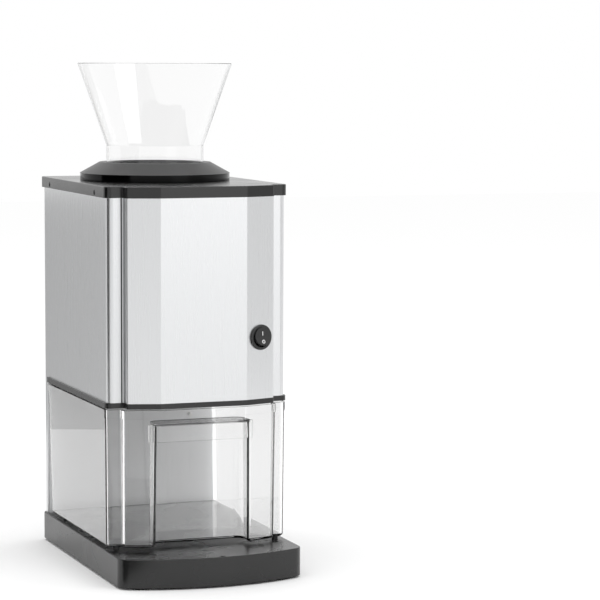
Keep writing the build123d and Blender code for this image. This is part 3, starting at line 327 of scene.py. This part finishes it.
nodeFinish = {
    "brushedStainless": ["housing_shell", "front_panel"],
    "bayWallSteel": ["bay_back_wall"],
    "coverAbs": ["top_cover"],
    "collarAbs": ["hopper_collar"],
    "baseAbs": ["base_tray", "base_plate"],
    "frameAbs": ["lower_frame", "interlock_bracket"],
    "hopperClear": ["hopper"],
    "drawerClear": ["drawer"],
    "switchBlack": ["switch_housing", "switch_rocker"],
    "mouldedRubber": ["base_feet", "drawer_feet", "cable_gland"],
    "castAluminium": ["crushing_chamber"],
    "groundStainless": ["comb_blades"] + [n for n in frame["nodes"] if n.startswith("drum_blade_")],
    "turnedSteel": ["drum_shaft", "drum_hub", "shaft_clip", "output_gear", "idler_axle", "motor_pinion",
                    "gear_pillars", "armature"],
    "sinteredBronze": ["front_bush", "rear_bush"],
    "galvanisedSheet": ["gear_plate", "motor_plate", "motor_can", "motor_front_bell", "motor_rear_bell"],
    "greyNylon": ["outlet_chute", "terminal_block", "gland_nut", "microswitch"],
    "naturalNylon": ["idler_gear"],
    "whiteAcetal": ["interlock_plunger"],
    "fanBlack": ["motor_fan"],
    "ferrite": ["field_magnets"],
    "nickelPlate": ["switch_terminals"],
    "blackOxide": ["lid_screws", "back_screws"],
    "zincPlate": ["base_screws", "flange_screws", "gear_plate_screws", "motor_screws", "comb_screws"],
}
finishOf = {node: finish for finish, nodes in nodeFinish.items() for node in nodes}
bodyOf = {node: body for body, nodes in frame["record"]["behaviour"]["bodies"].items() for node in nodes}
for nodeName, node in frame["nodes"].items():
    for slot in node.material_slots:
        slot.material = finishes[finishOf[nodeName]]
print("finishes:", len(finishes))


mergeGap = 0.001 * mm       # points nearer than this are one


def mergedNode(nodeName):
    # a CAD node's triangles as one joined mesh
    work = bmesh.new()
    work.from_mesh(frame["nodes"][nodeName].data)
    bmesh.ops.remove_doubles(work, verts=work.verts, dist=mergeGap)
    return work


def markCreases(work, creaseAngle):
    for face in work.faces:
        face.smooth = True
    for edge in work.edges:
        edge.smooth = edge.calc_face_angle(0.0) < math.radians(creaseAngle)


def newPiece(pieceName, work, finish, body):
    mesh = bpy.data.meshes.new(pieceName)
    work.to_mesh(mesh)
    work.free()
    mesh.materials.append(finishes[finish])
    piece = bpy.data.objects.new(pieceName, mesh)
    bpy.context.scene.collection.objects.link(piece)
    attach(piece, body)
    return piece


def standFor(piece, nodeName):
    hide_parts(nodeName)


def smoothNode(nodeName, pieceName, creaseAngle=32, edgeRound=0.0):
    # the CAD shape with its curved faces shaded smooth and, where asked, its edges eased
    work = mergedNode(nodeName)
    markCreases(work, creaseAngle)
    piece = newPiece(pieceName, work, finishOf[nodeName], bodyOf[nodeName])
    if edgeRound:
        bevel = piece.modifiers.new("easedEdges", "BEVEL")
        bevel.width = edgeRound * mm
        bevel.segments = 2
        bevel.limit_method = "ANGLE"
        bevel.angle_limit = math.radians(creaseAngle)
    weigh = piece.modifiers.new("flatFacesFlat", "WEIGHTED_NORMAL")
    weigh.keep_sharp = True
    standFor(piece, nodeName)


smoothPieces = {
    "base_tray": {"pieceName": "baseTray"},
    "base_feet": {"pieceName": "baseFeet"},
    "housing_shell": {"pieceName": "housingShell"},
    "front_panel": {"pieceName": "frontPanel"},
    "lower_frame": {"pieceName": "lowerFrame"},
    "top_cover": {"pieceName": "topCover"},
    "drawer": {"pieceName": "collectingDrawer", "edgeRound": 0.5},
    "drawer_feet": {"pieceName": "drawerPegs"},
    "switch_housing": {"pieceName": "switchBezel"},
    "switch_rocker": {"pieceName": "switchRocker", "edgeRound": 0.35, "creaseAngle": 25},
    "cable_gland": {"pieceName": "mainsGland"},
    "drum_shaft": {"pieceName": "drumShaft"},
    "drum_hub": {"pieceName": "drumHub"},
    "interlock_plunger": {"pieceName": "interlockPlunger"},
    "motor_can": {"pieceName": "motorCan"},
    "front_bush": {"pieceName": "frontBush"},
    "rear_bush": {"pieceName": "rearBush"},
    "armature": {"pieceName": "motorArmature"},
}
for nodeName, options in smoothPieces.items():
    smoothNode(nodeName, **options)
print("smooth pieces:", len(smoothPieces))


def addInput(tree, socketName, kind, value=None):
    socket = tree.interface.new_socket(name=socketName, in_out="INPUT", socket_type=kind)
    if value is not None:
        socket.default_value = value


def newTree(treeName):
    tree = bpy.data.node_groups.new(treeName, "GeometryNodeTree")
    addInput(tree, "Geometry", "NodeSocketGeometry")
    tree.interface.new_socket(name="Geometry", in_out="OUTPUT", socket_type="NodeSocketGeometry")
    return tree


def closeTree(tree, geometry, material):
    real = addNode(tree, "GeometryNodeRealizeInstances", {"Geometry": geometry})
    painted = addNode(tree, "GeometryNodeSetMaterial",
                      {"Geometry": real.outputs["Geometry"], "Material": material})
    addNode(tree, "NodeGroupOutput", {"Geometry": painted.outputs["Geometry"]})


def spinTree():
    # a profile with rounded corners, turned about the hopper's axis
    tree = newTree("spunProfile")
    addInput(tree, "Path Radius", "NodeSocketFloat", 0.05)
    addInput(tree, "Segments", "NodeSocketInt", 192)
    addInput(tree, "Corner Radius", "NodeSocketFloat", 0.0005)
    addInput(tree, "Corner Steps", "NodeSocketInt", 4)
    addInput(tree, "Axis Place", "NodeSocketVector")
    addInput(tree, "Material", "NodeSocketMaterial")
    given = addNode(tree, "NodeGroupInput").outputs
    circle = addNode(tree, "GeometryNodeCurvePrimitiveCircle",
                     {"Resolution": given["Segments"], "Radius": given["Path Radius"]})
    outline = addNode(tree, "GeometryNodeMeshToCurve", {"Mesh": given["Geometry"]})
    rounded = addNode(tree, "GeometryNodeFilletCurve", {
        "Curve": outline.outputs["Curve"], "Count": given["Corner Steps"],
        "Radius": given["Corner Radius"], "Limit Radius": True,
    }, mode="POLY")
    spun = addNode(tree, "GeometryNodeCurveToMesh",
                   {"Curve": circle.outputs["Curve"], "Profile Curve": rounded.outputs["Curve"]})
    placed = addNode(tree, "GeometryNodeTransform",
                     {"Geometry": spun.outputs["Mesh"], "Translation": given["Axis Place"]})
    closeTree(tree, placed.outputs["Geometry"], given["Material"])
    return tree


def setInputs(modifier, values):
    # a modifier's inputs are set by their sockets' identifiers
    sockets = {item.name: item.identifier for item in modifier.node_group.interface.items_tree
               if item.in_out == "INPUT"}
    for name, value in values.items():
        modifier[sockets[name]] = value


def bakeTree(carrier, tree, values):
    # runs the tree on the carrier's mesh and gives back the plain result
    modifier = carrier.modifiers.new(tree.name, "NODES")
    modifier.node_group = tree
    setInputs(modifier, values)
    evaluated = carrier.evaluated_get(bpy.context.evaluated_depsgraph_get())
    result = bpy.data.meshes.new_from_object(evaluated)
    work = bmesh.new()
    work.from_mesh(result)
    bpy.data.meshes.remove(result)
    bpy.data.objects.remove(carrier)
    return work


def profileCarrier(points, pathRadius):
    # closed outline of (radius, height) points, laid flat for the tree
    mesh = bpy.data.meshes.new("profile")
    corners = [((r - pathRadius) * mm, -z * mm, 0.0) for r, z in points]
    edges = [(i, (i + 1) % len(corners)) for i in range(len(corners))]
    mesh.from_pydata(corners, edges, [])
    carrier = bpy.data.objects.new("profile", mesh)
    bpy.context.scene.collection.objects.link(carrier)
    return carrier


spinner = spinTree()


def spunPiece(nodeName, pieceName, points, settings):
    pathRadius = settings["pathRadius"]
    work = bakeTree(profileCarrier(points, pathRadius), spinner, {
        "Path Radius": pathRadius * mm, "Segments": settings["segments"],
        "Corner Radius": settings["cornerRadius"] * mm, "Corner Steps": settings["cornerSteps"],
        "Axis Place": (0.0, settings["axisY"] * mm, 0.0), "Material": finishes[finishOf[nodeName]],
    })
    bmesh.ops.remove_doubles(work, verts=work.verts, dist=mergeGap)
    bmesh.ops.recalc_face_normals(work, faces=work.faces)
    markCreases(work, settings["crease"])
    piece = newPiece(pieceName, work, finishOf[nodeName], bodyOf[nodeName])
    weigh = piece.modifiers.new("longFacesStraight", "WEIGHTED_NORMAL")
    weigh.keep_sharp = True
    standFor(piece, nodeName)


hopperLow, hopperHigh = [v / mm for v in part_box("hopper")]
axisY = (hopperLow.y + hopperHigh.y) / 2

hopperSettings = {          # mm
    "pathRadius": 60.0, "segments": 224, "cornerRadius": 0.5, "cornerSteps": 3, "crease": 40,
    "axisY": axisY, "wall": 1.4, "neckRadius": 46.4, "kneeHeight": 28.8,
}


def hopperPoints(s):
    # clear funnel: straight neck, knee, cone, flat rim
    base, rim = hopperLow.z, hopperHigh.z
    outer, neck, wall = hopperHigh.x, s["neckRadius"], s["wall"]
    knee = base + s["kneeHeight"]
    slope = (outer - neck) / (rim - knee)
    innerRim = outer - wall * math.sqrt(1 + slope ** 2)
    innerKnee = rim - (innerRim - (neck - wall)) / slope
    return [(neck - wall, base), (neck, base), (neck, knee), (outer, rim), (innerRim, rim),
            (neck - wall, innerKnee)]


collarLow, collarHigh = [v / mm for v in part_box("hopper_collar")]
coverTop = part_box("top_cover")[1].z / mm
collarSettings = {          # mm
    "pathRadius": 55.0, "segments": 224, "cornerRadius": 0.5, "cornerSteps": 3, "crease": 40,
    "axisY": axisY, "throatRadius": 43.0, "spigotWall": 1.8, "footRadius": 71.4, "bandHeight": 6.4,
    "topRadius": 53.1, "seatGap": 0.3,
}


def collarPoints(s):
    # spigot through the lid, upright band, cone, seat for the hopper's neck
    bore = s["throatRadius"]
    spigot = bore + s["spigotWall"]
    seat = hopperSettings["neckRadius"] + s["seatGap"]
    band = coverTop + s["bandHeight"]
    return [(bore, collarLow.z), (spigot, collarLow.z), (spigot, coverTop), (s["footRadius"], coverTop),
            (s["footRadius"], band), (collarHigh.x, band), (s["topRadius"], collarHigh.z),
            (seat, collarHigh.z), (seat, hopperLow.z), (bore, hopperLow.z)]


spunPiece("hopper", "hopperFunnel", hopperPoints(hopperSettings), hopperSettings)
spunPiece("hopper_collar", "hopperCollar", collarPoints(collarSettings), collarSettings)
print("spun pieces: hopper and collar")


def islandBoxes(nodeName):
    # (lowest, highest) corner of each separate solid in a node
    work = mergedNode(nodeName)
    boxes = []
    left = set(work.verts)
    while left:
        front = [left.pop()]
        island = list(front)
        while front:
            vert = front.pop()
            for edge in vert.link_edges:
                other = edge.other_vert(vert)
                if other in left:
                    left.discard(other)
                    front.append(other)
                    island.append(other)
        boxes.append((Vector([min(v.co[i] for v in island) for i in range(3)]),
                      Vector([max(v.co[i] for v in island) for i in range(3)])))
    work.free()
    return boxes


screwSizes = {      # the tree's inputs and the settings that feed them
    "Head Radius": "headRadius", "Head Height": "headHeight", "Shank Radius": "shankRadius",
    "Shank Length": "shankLength", "Slot Width": "slotWidth", "Slot Depth": "slotDepth",
}
slotReach = 1.25            # length of a slot over the head's radius
screwCrease = 30            # degrees, sharper edges stay sharp


def screwTree():
    # a domed head with a cross slot on a plain shank, one at each point
    tree = newTree("crossHeadScrews")
    for name in screwSizes:
        addInput(tree, name, "NodeSocketFloat", 0.001)
    addInput(tree, "Material", "NodeSocketMaterial")
    given = addNode(tree, "NodeGroupInput").outputs

    dome = addNode(tree, "GeometryNodeMeshUVSphere", {"Segments": 32, "Rings": 12, "Radius": 1.0})
    headSize = addNode(tree, "ShaderNodeCombineXYZ",
                       {"X": given["Head Radius"], "Y": given["Head Radius"], "Z": given["Head Height"]})
    head = addNode(tree, "GeometryNodeTransform",
                   {"Geometry": dome.outputs["Mesh"], "Scale": headSize.outputs["Vector"]})
    shank = addNode(tree, "GeometryNodeMeshCylinder",
                    {"Vertices": 20, "Radius": given["Shank Radius"], "Depth": given["Shank Length"]})
    halfDown = addNode(tree, "ShaderNodeMath", {0: given["Shank Length"], 1: -0.5}, operation="MULTIPLY")
    shankPlace = addNode(tree, "ShaderNodeCombineXYZ", {"Z": halfDown.outputs[0]})
    sunk = addNode(tree, "GeometryNodeTransform",
                   {"Geometry": shank.outputs["Mesh"], "Translation": shankPlace.outputs["Vector"]})
    solid = addNode(tree, "GeometryNodeMeshBoolean", operation="UNION", solver="EXACT")
    for part in (head, sunk):
        tree.links.new(part.outputs["Geometry"], solid.inputs["Mesh 2"])
    reach = addNode(tree, "ShaderNodeMath", {0: given["Head Radius"], 1: slotReach}, operation="MULTIPLY")
    depth = addNode(tree, "ShaderNodeMath", {0: given["Slot Depth"], 1: 2.0}, operation="MULTIPLY")
    cross = addNode(tree, "GeometryNodeMeshBoolean", operation="UNION", solver="EXACT")
    arm = reach.outputs[0]
    for across, along in ((arm, given["Slot Width"]), (given["Slot Width"], arm)):
        size = addNode(tree, "ShaderNodeCombineXYZ", {"X": across, "Y": along, "Z": depth.outputs[0]})
        bar = addNode(tree, "GeometryNodeMeshCube", {"Size": size.outputs["Vector"]})
        tree.links.new(bar.outputs["Mesh"], cross.inputs["Mesh 2"])
    crossPlace = addNode(tree, "ShaderNodeCombineXYZ", {"Z": given["Head Height"]})
    high = addNode(tree, "GeometryNodeTransform",
                   {"Geometry": cross.outputs["Mesh"], "Translation": crossPlace.outputs["Vector"]})
    screw = addNode(tree, "GeometryNodeMeshBoolean", {"Mesh 1": solid.outputs["Mesh"]},
                    operation="DIFFERENCE", solver="EXACT")
    tree.links.new(high.outputs["Geometry"], screw.inputs["Mesh 2"])
    facing = addNode(tree, "GeometryNodeInputNamedAttribute", {"Name": "facing"}, data_type="FLOAT_VECTOR")
    turn = addNode(tree, "FunctionNodeAlignRotationToVector", {"Vector": facing.outputs["Attribute"]},
                   axis="Z")
    spots = addNode(tree, "GeometryNodeInstanceOnPoints", {
        "Points": given["Geometry"], "Instance": screw.outputs["Mesh"], "Rotation": turn.outputs["Rotation"],
    })
    closeTree(tree, spots.outputs["Instances"], given["Material"])
    return tree


screwMaker = screwTree()


def screwPieces(nodeName, pieceName, facing, settings):
    # facing is an axis and a sign, or None as the sign for screws that face away from the middle
    axis, sign = facing
    seats, turns = [], []
    for low, high in islandBoxes(nodeName):
        seat = (low + high) / 2
        way = sign or math.copysign(1.0, seat[axis])
        outer = high[axis] if way > 0 else low[axis]
        seat[axis] = outer - way * settings["headHeight"] * mm
        direction = Vector((0.0, 0.0, 0.0))
        direction[axis] = way
        seats.append(seat)
        turns.append(direction)
    mesh = bpy.data.meshes.new("screwSeats")
    mesh.from_pydata(seats, [], [])
    attribute = mesh.attributes.new("facing", "FLOAT_VECTOR", "POINT")
    for item, direction in zip(attribute.data, turns):
        item.vector = direction
    carrier = bpy.data.objects.new("screwSeats", mesh)
    bpy.context.scene.collection.objects.link(carrier)
    values = {name: settings[key] * mm for name, key in screwSizes.items()}
    work = bakeTree(carrier, screwMaker, {**values, "Material": finishes[finishOf[nodeName]]})
    bmesh.ops.remove_doubles(work, verts=work.verts, dist=mergeGap)
    markCreases(work, screwCrease)
    standFor(newPiece(pieceName, work, finishOf[nodeName], bodyOf[nodeName]), nodeName)


# node: piece, (axis, sign) that the heads face, sizes in mm
screwSets = {
    "lid_screws": ("lidScrews", (0, None), {"headRadius": 2.65, "headHeight": 0.5, "shankRadius": 1.4,
                                            "shankLength": 4.4, "slotWidth": 0.7, "slotDepth": 0.45}),
    "back_screws": ("backScrews", (1, 1), {"headRadius": 2.8, "headHeight": 1.4, "shankRadius": 1.4,
                                           "shankLength": 5.0, "slotWidth": 0.7, "slotDepth": 0.9}),
    "base_screws": ("baseScrews", (2, -1), {"headRadius": 3.0, "headHeight": 1.4, "shankRadius": 1.5,
                                            "shankLength": 11.0, "slotWidth": 0.8, "slotDepth": 0.9}),
    "flange_screws": ("flangeScrews", (2, -1), {"headRadius": 3.6, "headHeight": 2.6, "shankRadius": 2.0,
                                                "shankLength": 11.5, "slotWidth": 0.9, "slotDepth": 1.4}),
    "comb_screws": ("combScrews", (0, 1), {"headRadius": 3.2, "headHeight": 2.2, "shankRadius": 1.7,
                                           "shankLength": 6.5, "slotWidth": 0.9, "slotDepth": 1.2}),
}
for nodeName, (pieceName, facing, settings) in screwSets.items():
    screwPieces(nodeName, pieceName, facing, settings)
print("screw sets:", len(screwSets))


switchSettings = {
    "centre": (55.93, -95.76, 220.3), "facetAngle": 17.0,
    "markOffset": 3.7,      # above and below the rocker's middle
    "castFrom": 30.0,       # start in front of the switch, to find the rocker's skin
    "barWidth": 0.8, "barHeight": 3.8, "ringOuter": 1.75, "ringInner": 1.0, "ringSteps": 40,
    "markDepth": 0.06,
}


def markOutline(kind, s):
    # outer and inner outline of the on mark, a bar, or of the off mark, a ring
    if kind == "bar":
        w, h = s["barWidth"] / 2, s["barHeight"] / 2
        return [(-w, -h), (w, -h), (w, h), (-w, h)], None
    turns = [2 * math.pi * i / s["ringSteps"] for i in range(s["ringSteps"])]
    outer = [(s["ringOuter"] * math.cos(a), s["ringOuter"] * math.sin(a)) for a in turns]
    inner = [(s["ringInner"] * math.cos(a), s["ringInner"] * math.sin(a)) for a in turns]
    return outer, inner


def rockerMarks(s):
    # thin printed marks laid on the rocker's two halves, each square to its half
    angle = math.radians(s["facetAngle"])
    tangent = Vector((math.cos(angle), math.sin(angle), 0.0))
    normal = Vector((math.sin(angle), -math.cos(angle), 0.0))
    centre = Vector(s["centre"]) * mm
    surface = mergedNode("switch_rocker")
    hits = BVHTree.FromBMesh(surface)
    work = bmesh.new()
    for kind, side in (("bar", 1), ("ring", -1)):
        start = centre + normal * s["castFrom"] * mm + Vector((0, 0, side * s["markOffset"] * mm))
        place, facing = hits.ray_cast(start, -normal)[:2]
        up = facing.cross(tangent)
        outer, inner = markOutline(kind, s)

        def ring(points, lift):
            return [work.verts.new(place + (tangent * x + up * y + facing * lift) * mm) for x, y in points]

        low, high = ring(outer, 0.0), ring(outer, s["markDepth"])
        count = len(outer)
        if inner is None:
            work.faces.new(high)
            work.faces.new(list(reversed(low)))
        else:
            lowIn, highIn = ring(inner, 0.0), ring(inner, s["markDepth"])
            for i in range(count):
                j = (i + 1) % count
                work.faces.new((high[i], high[j], highIn[j], highIn[i]))
                work.faces.new((low[i], lowIn[i], lowIn[j], low[j]))
                work.faces.new((lowIn[i], highIn[i], highIn[j], lowIn[j]))
        for i in range(count):
            j = (i + 1) % count
            work.faces.new((low[i], low[j], high[j], high[i]))
    surface.free()
    bmesh.ops.recalc_face_normals(work, faces=work.faces)
    piece = newPiece("rockerMarks", work, "markWhite", "rocker")


rockerMarks(switchSettings)
print("rocker marks done")


# mm, of the right-hand strip of painted groove shade; the left one mirrors it
grooveShadeSettings = {"x": (71.7, 72.95), "y": (-80.85, -80.15), "z": (163.5, 349.2)}


def paintedGrooveShade(s):
    # black strip in the groove between each post and the front panel: painted shade where the deep groove
    # lies in shadow
    work = bmesh.new()
    for side in (-1, 1):
        middle = [side * sum(s["x"]) / 2, sum(s["y"]) / 2, sum(s["z"]) / 2]
        size = [s[axis][1] - s[axis][0] for axis in "xyz"]
        place = Matrix.Translation(Vector(middle) * mm) @ Matrix.Diagonal((*[v * mm for v in size], 1.0))
        bmesh.ops.create_cube(work, size=1.0, matrix=place)
    # the black rubber finish paints the groove's shadow
    piece = newPiece("paintedGrooveShade", work, "mouldedRubber", "machine")


paintedGrooveShade(grooveShadeSettings)
# the panel seals are this painted groove shade
print("panel seals done")


# the studio's sizes and places are in metres
studio = {"floorSize": 12.0, "floorColour": "#FDFDFD", "floorRoughness": 0.9, "worldWhite": 1.0}


def flatSheet(name, width, height, material):
    # a rectangle across the origin, facing up
    corners = [(-width / 2, -height / 2, 0), (width / 2, -height / 2, 0),
               (width / 2, height / 2, 0), (-width / 2, height / 2, 0)]
    mesh = bpy.data.meshes.new(name)
    mesh.from_pydata(corners, [], [(0, 1, 2, 3)])
    mesh.materials.append(material)
    sheet = bpy.data.objects.new(name, mesh)
    bpy.context.scene.collection.objects.link(sheet)
    return sheet


def studioFloor(s):
    # white paper, no gloss
    material, tree = newMaterial("paperFloor")
    shader = addNode(tree, "ShaderNodeBsdfPrincipled", {
        "Base Color": linearColour(s["floorColour"]), "Roughness": s["floorRoughness"],
        "Specular IOR Level": 0.0,
    })
    finishMaterial(tree, shader.outputs["BSDF"])
    flatSheet("studioFloor", s["floorSize"], s["floorSize"], material)


def studioWorld(s):
    # even white all round: it lights the object and is the backdrop
    world = bpy.data.worlds.new("whiteStudio")
    bpy.context.scene.world = world
    world.use_nodes = True
    tree = world.node_tree
    tree.nodes.clear()
    light = addNode(tree, "ShaderNodeBackground", {"Color": (1, 1, 1, 1), "Strength": s["worldWhite"]})
    addNode(tree, "ShaderNodeOutputWorld", {"Surface": light.outputs["Background"]})


def aimed(place, target):
    return (Vector(target) - Vector(place)).to_track_quat("-Z", "Y").to_matrix().to_4x4()


softLamps = {               # power in watts
    "keyLamp": {"place": (1.5, -1.9, 2.0), "size": (1.6, 1.2), "power": 14},
    "topLamp": {"place": (-0.3, 0.2, 2.4), "size": (1.8, 1.8), "power": 8},
}
# cards seen only in reflections: each gives a face or a corner its tone
cards = {
    "frontRightCard": {"place": (1.15, -2.9, 0.5), "target": (0, 0, 0.5), "size": (1.4, 2.4), "level": 1.6},
    "backLeftCard": {"place": (-0.33, 0.75, 0.16), "target": (0, 0, 0.16), "size": (0.5, 0.3), "level": 0.56},
    "rightCard": {"place": (1.0, -0.8, 0.5), "target": (0, 0, 0.5), "size": (0.5, 0.98), "level": 0.84},
    "leftBlackCard": {"place": (-1.35, -0.2, 0.5), "target": (0, 0, 0.5), "size": (1.3, 0.98), "level": 0.0},
    "tableBlackCard": {"place": (-0.76, -0.33, 0.001), "target": (-0.76, -0.33, 1), "size": (1.3, 0.4),
                       "level": 0.0},
}
lampTarget = (0.0, 0.0, 0.22)


def studioLights():
    for name, s in softLamps.items():
        data = bpy.data.lights.new(name, "AREA")
        data.shape = "RECTANGLE"
        data.size, data.size_y = s["size"]
        data.energy = s["power"]
        lamp = bpy.data.objects.new(name, data)
        lamp.matrix_world = Matrix.Translation(s["place"]) @ aimed(s["place"], lampTarget)
        bpy.context.scene.collection.objects.link(lamp)
    for name, s in cards.items():
        material, tree = newMaterial(name)
        glow = addNode(tree, "ShaderNodeEmission", {"Color": (1, 1, 1, 1), "Strength": s["level"]})
        finishMaterial(tree, glow.outputs["Emission"])
        card = flatSheet(name, *s["size"], material)
        card.data.transform(Matrix.Translation(s["place"]) @ aimed(s["place"], s["target"]))
        card.visible_camera = False
        card.visible_diffuse = False
        card.visible_transmission = False
        card.visible_shadow = False


cameraSettings = {
    "place": (-725.97, -2260.44, 472.03),   # mm, in front and to the left
    "lens": 151.44, "sensor": 36.0, "clip": (0.05, 60.0),
    "yaw": 0.3623, "pitch": 0.09417, "roll": 0.00337,
}


def studioCamera(s):
    data = bpy.data.cameras.new("photoCamera")
    data.sensor_width = s["sensor"]
    data.lens = s["lens"]
    data.clip_start, data.clip_end = s["clip"]
    yaw, pitch, roll = s["yaw"], s["pitch"], s["roll"]
    forward = Vector((math.sin(yaw) * math.cos(pitch), math.cos(yaw) * math.cos(pitch), -math.sin(pitch)))
    level = Vector((math.cos(yaw), -math.sin(yaw), 0.0))
    up = level.cross(forward)
    right = math.cos(roll) * level + math.sin(roll) * up
    up = right.cross(forward)
    camera = bpy.data.objects.new("photoCamera", data)
    turn = Matrix((right, up, -forward)).transposed().to_4x4()
    camera.matrix_world = Matrix.Translation(Vector(s["place"]) * mm) @ turn
    bpy.context.scene.collection.objects.link(camera)
    bpy.context.scene.camera = camera


studioFloor(studio)
studioWorld(studio)
studioLights()
studioCamera(cameraSettings)
bpy.context.scene.view_settings.view_transform = "Standard"
print("studio set")
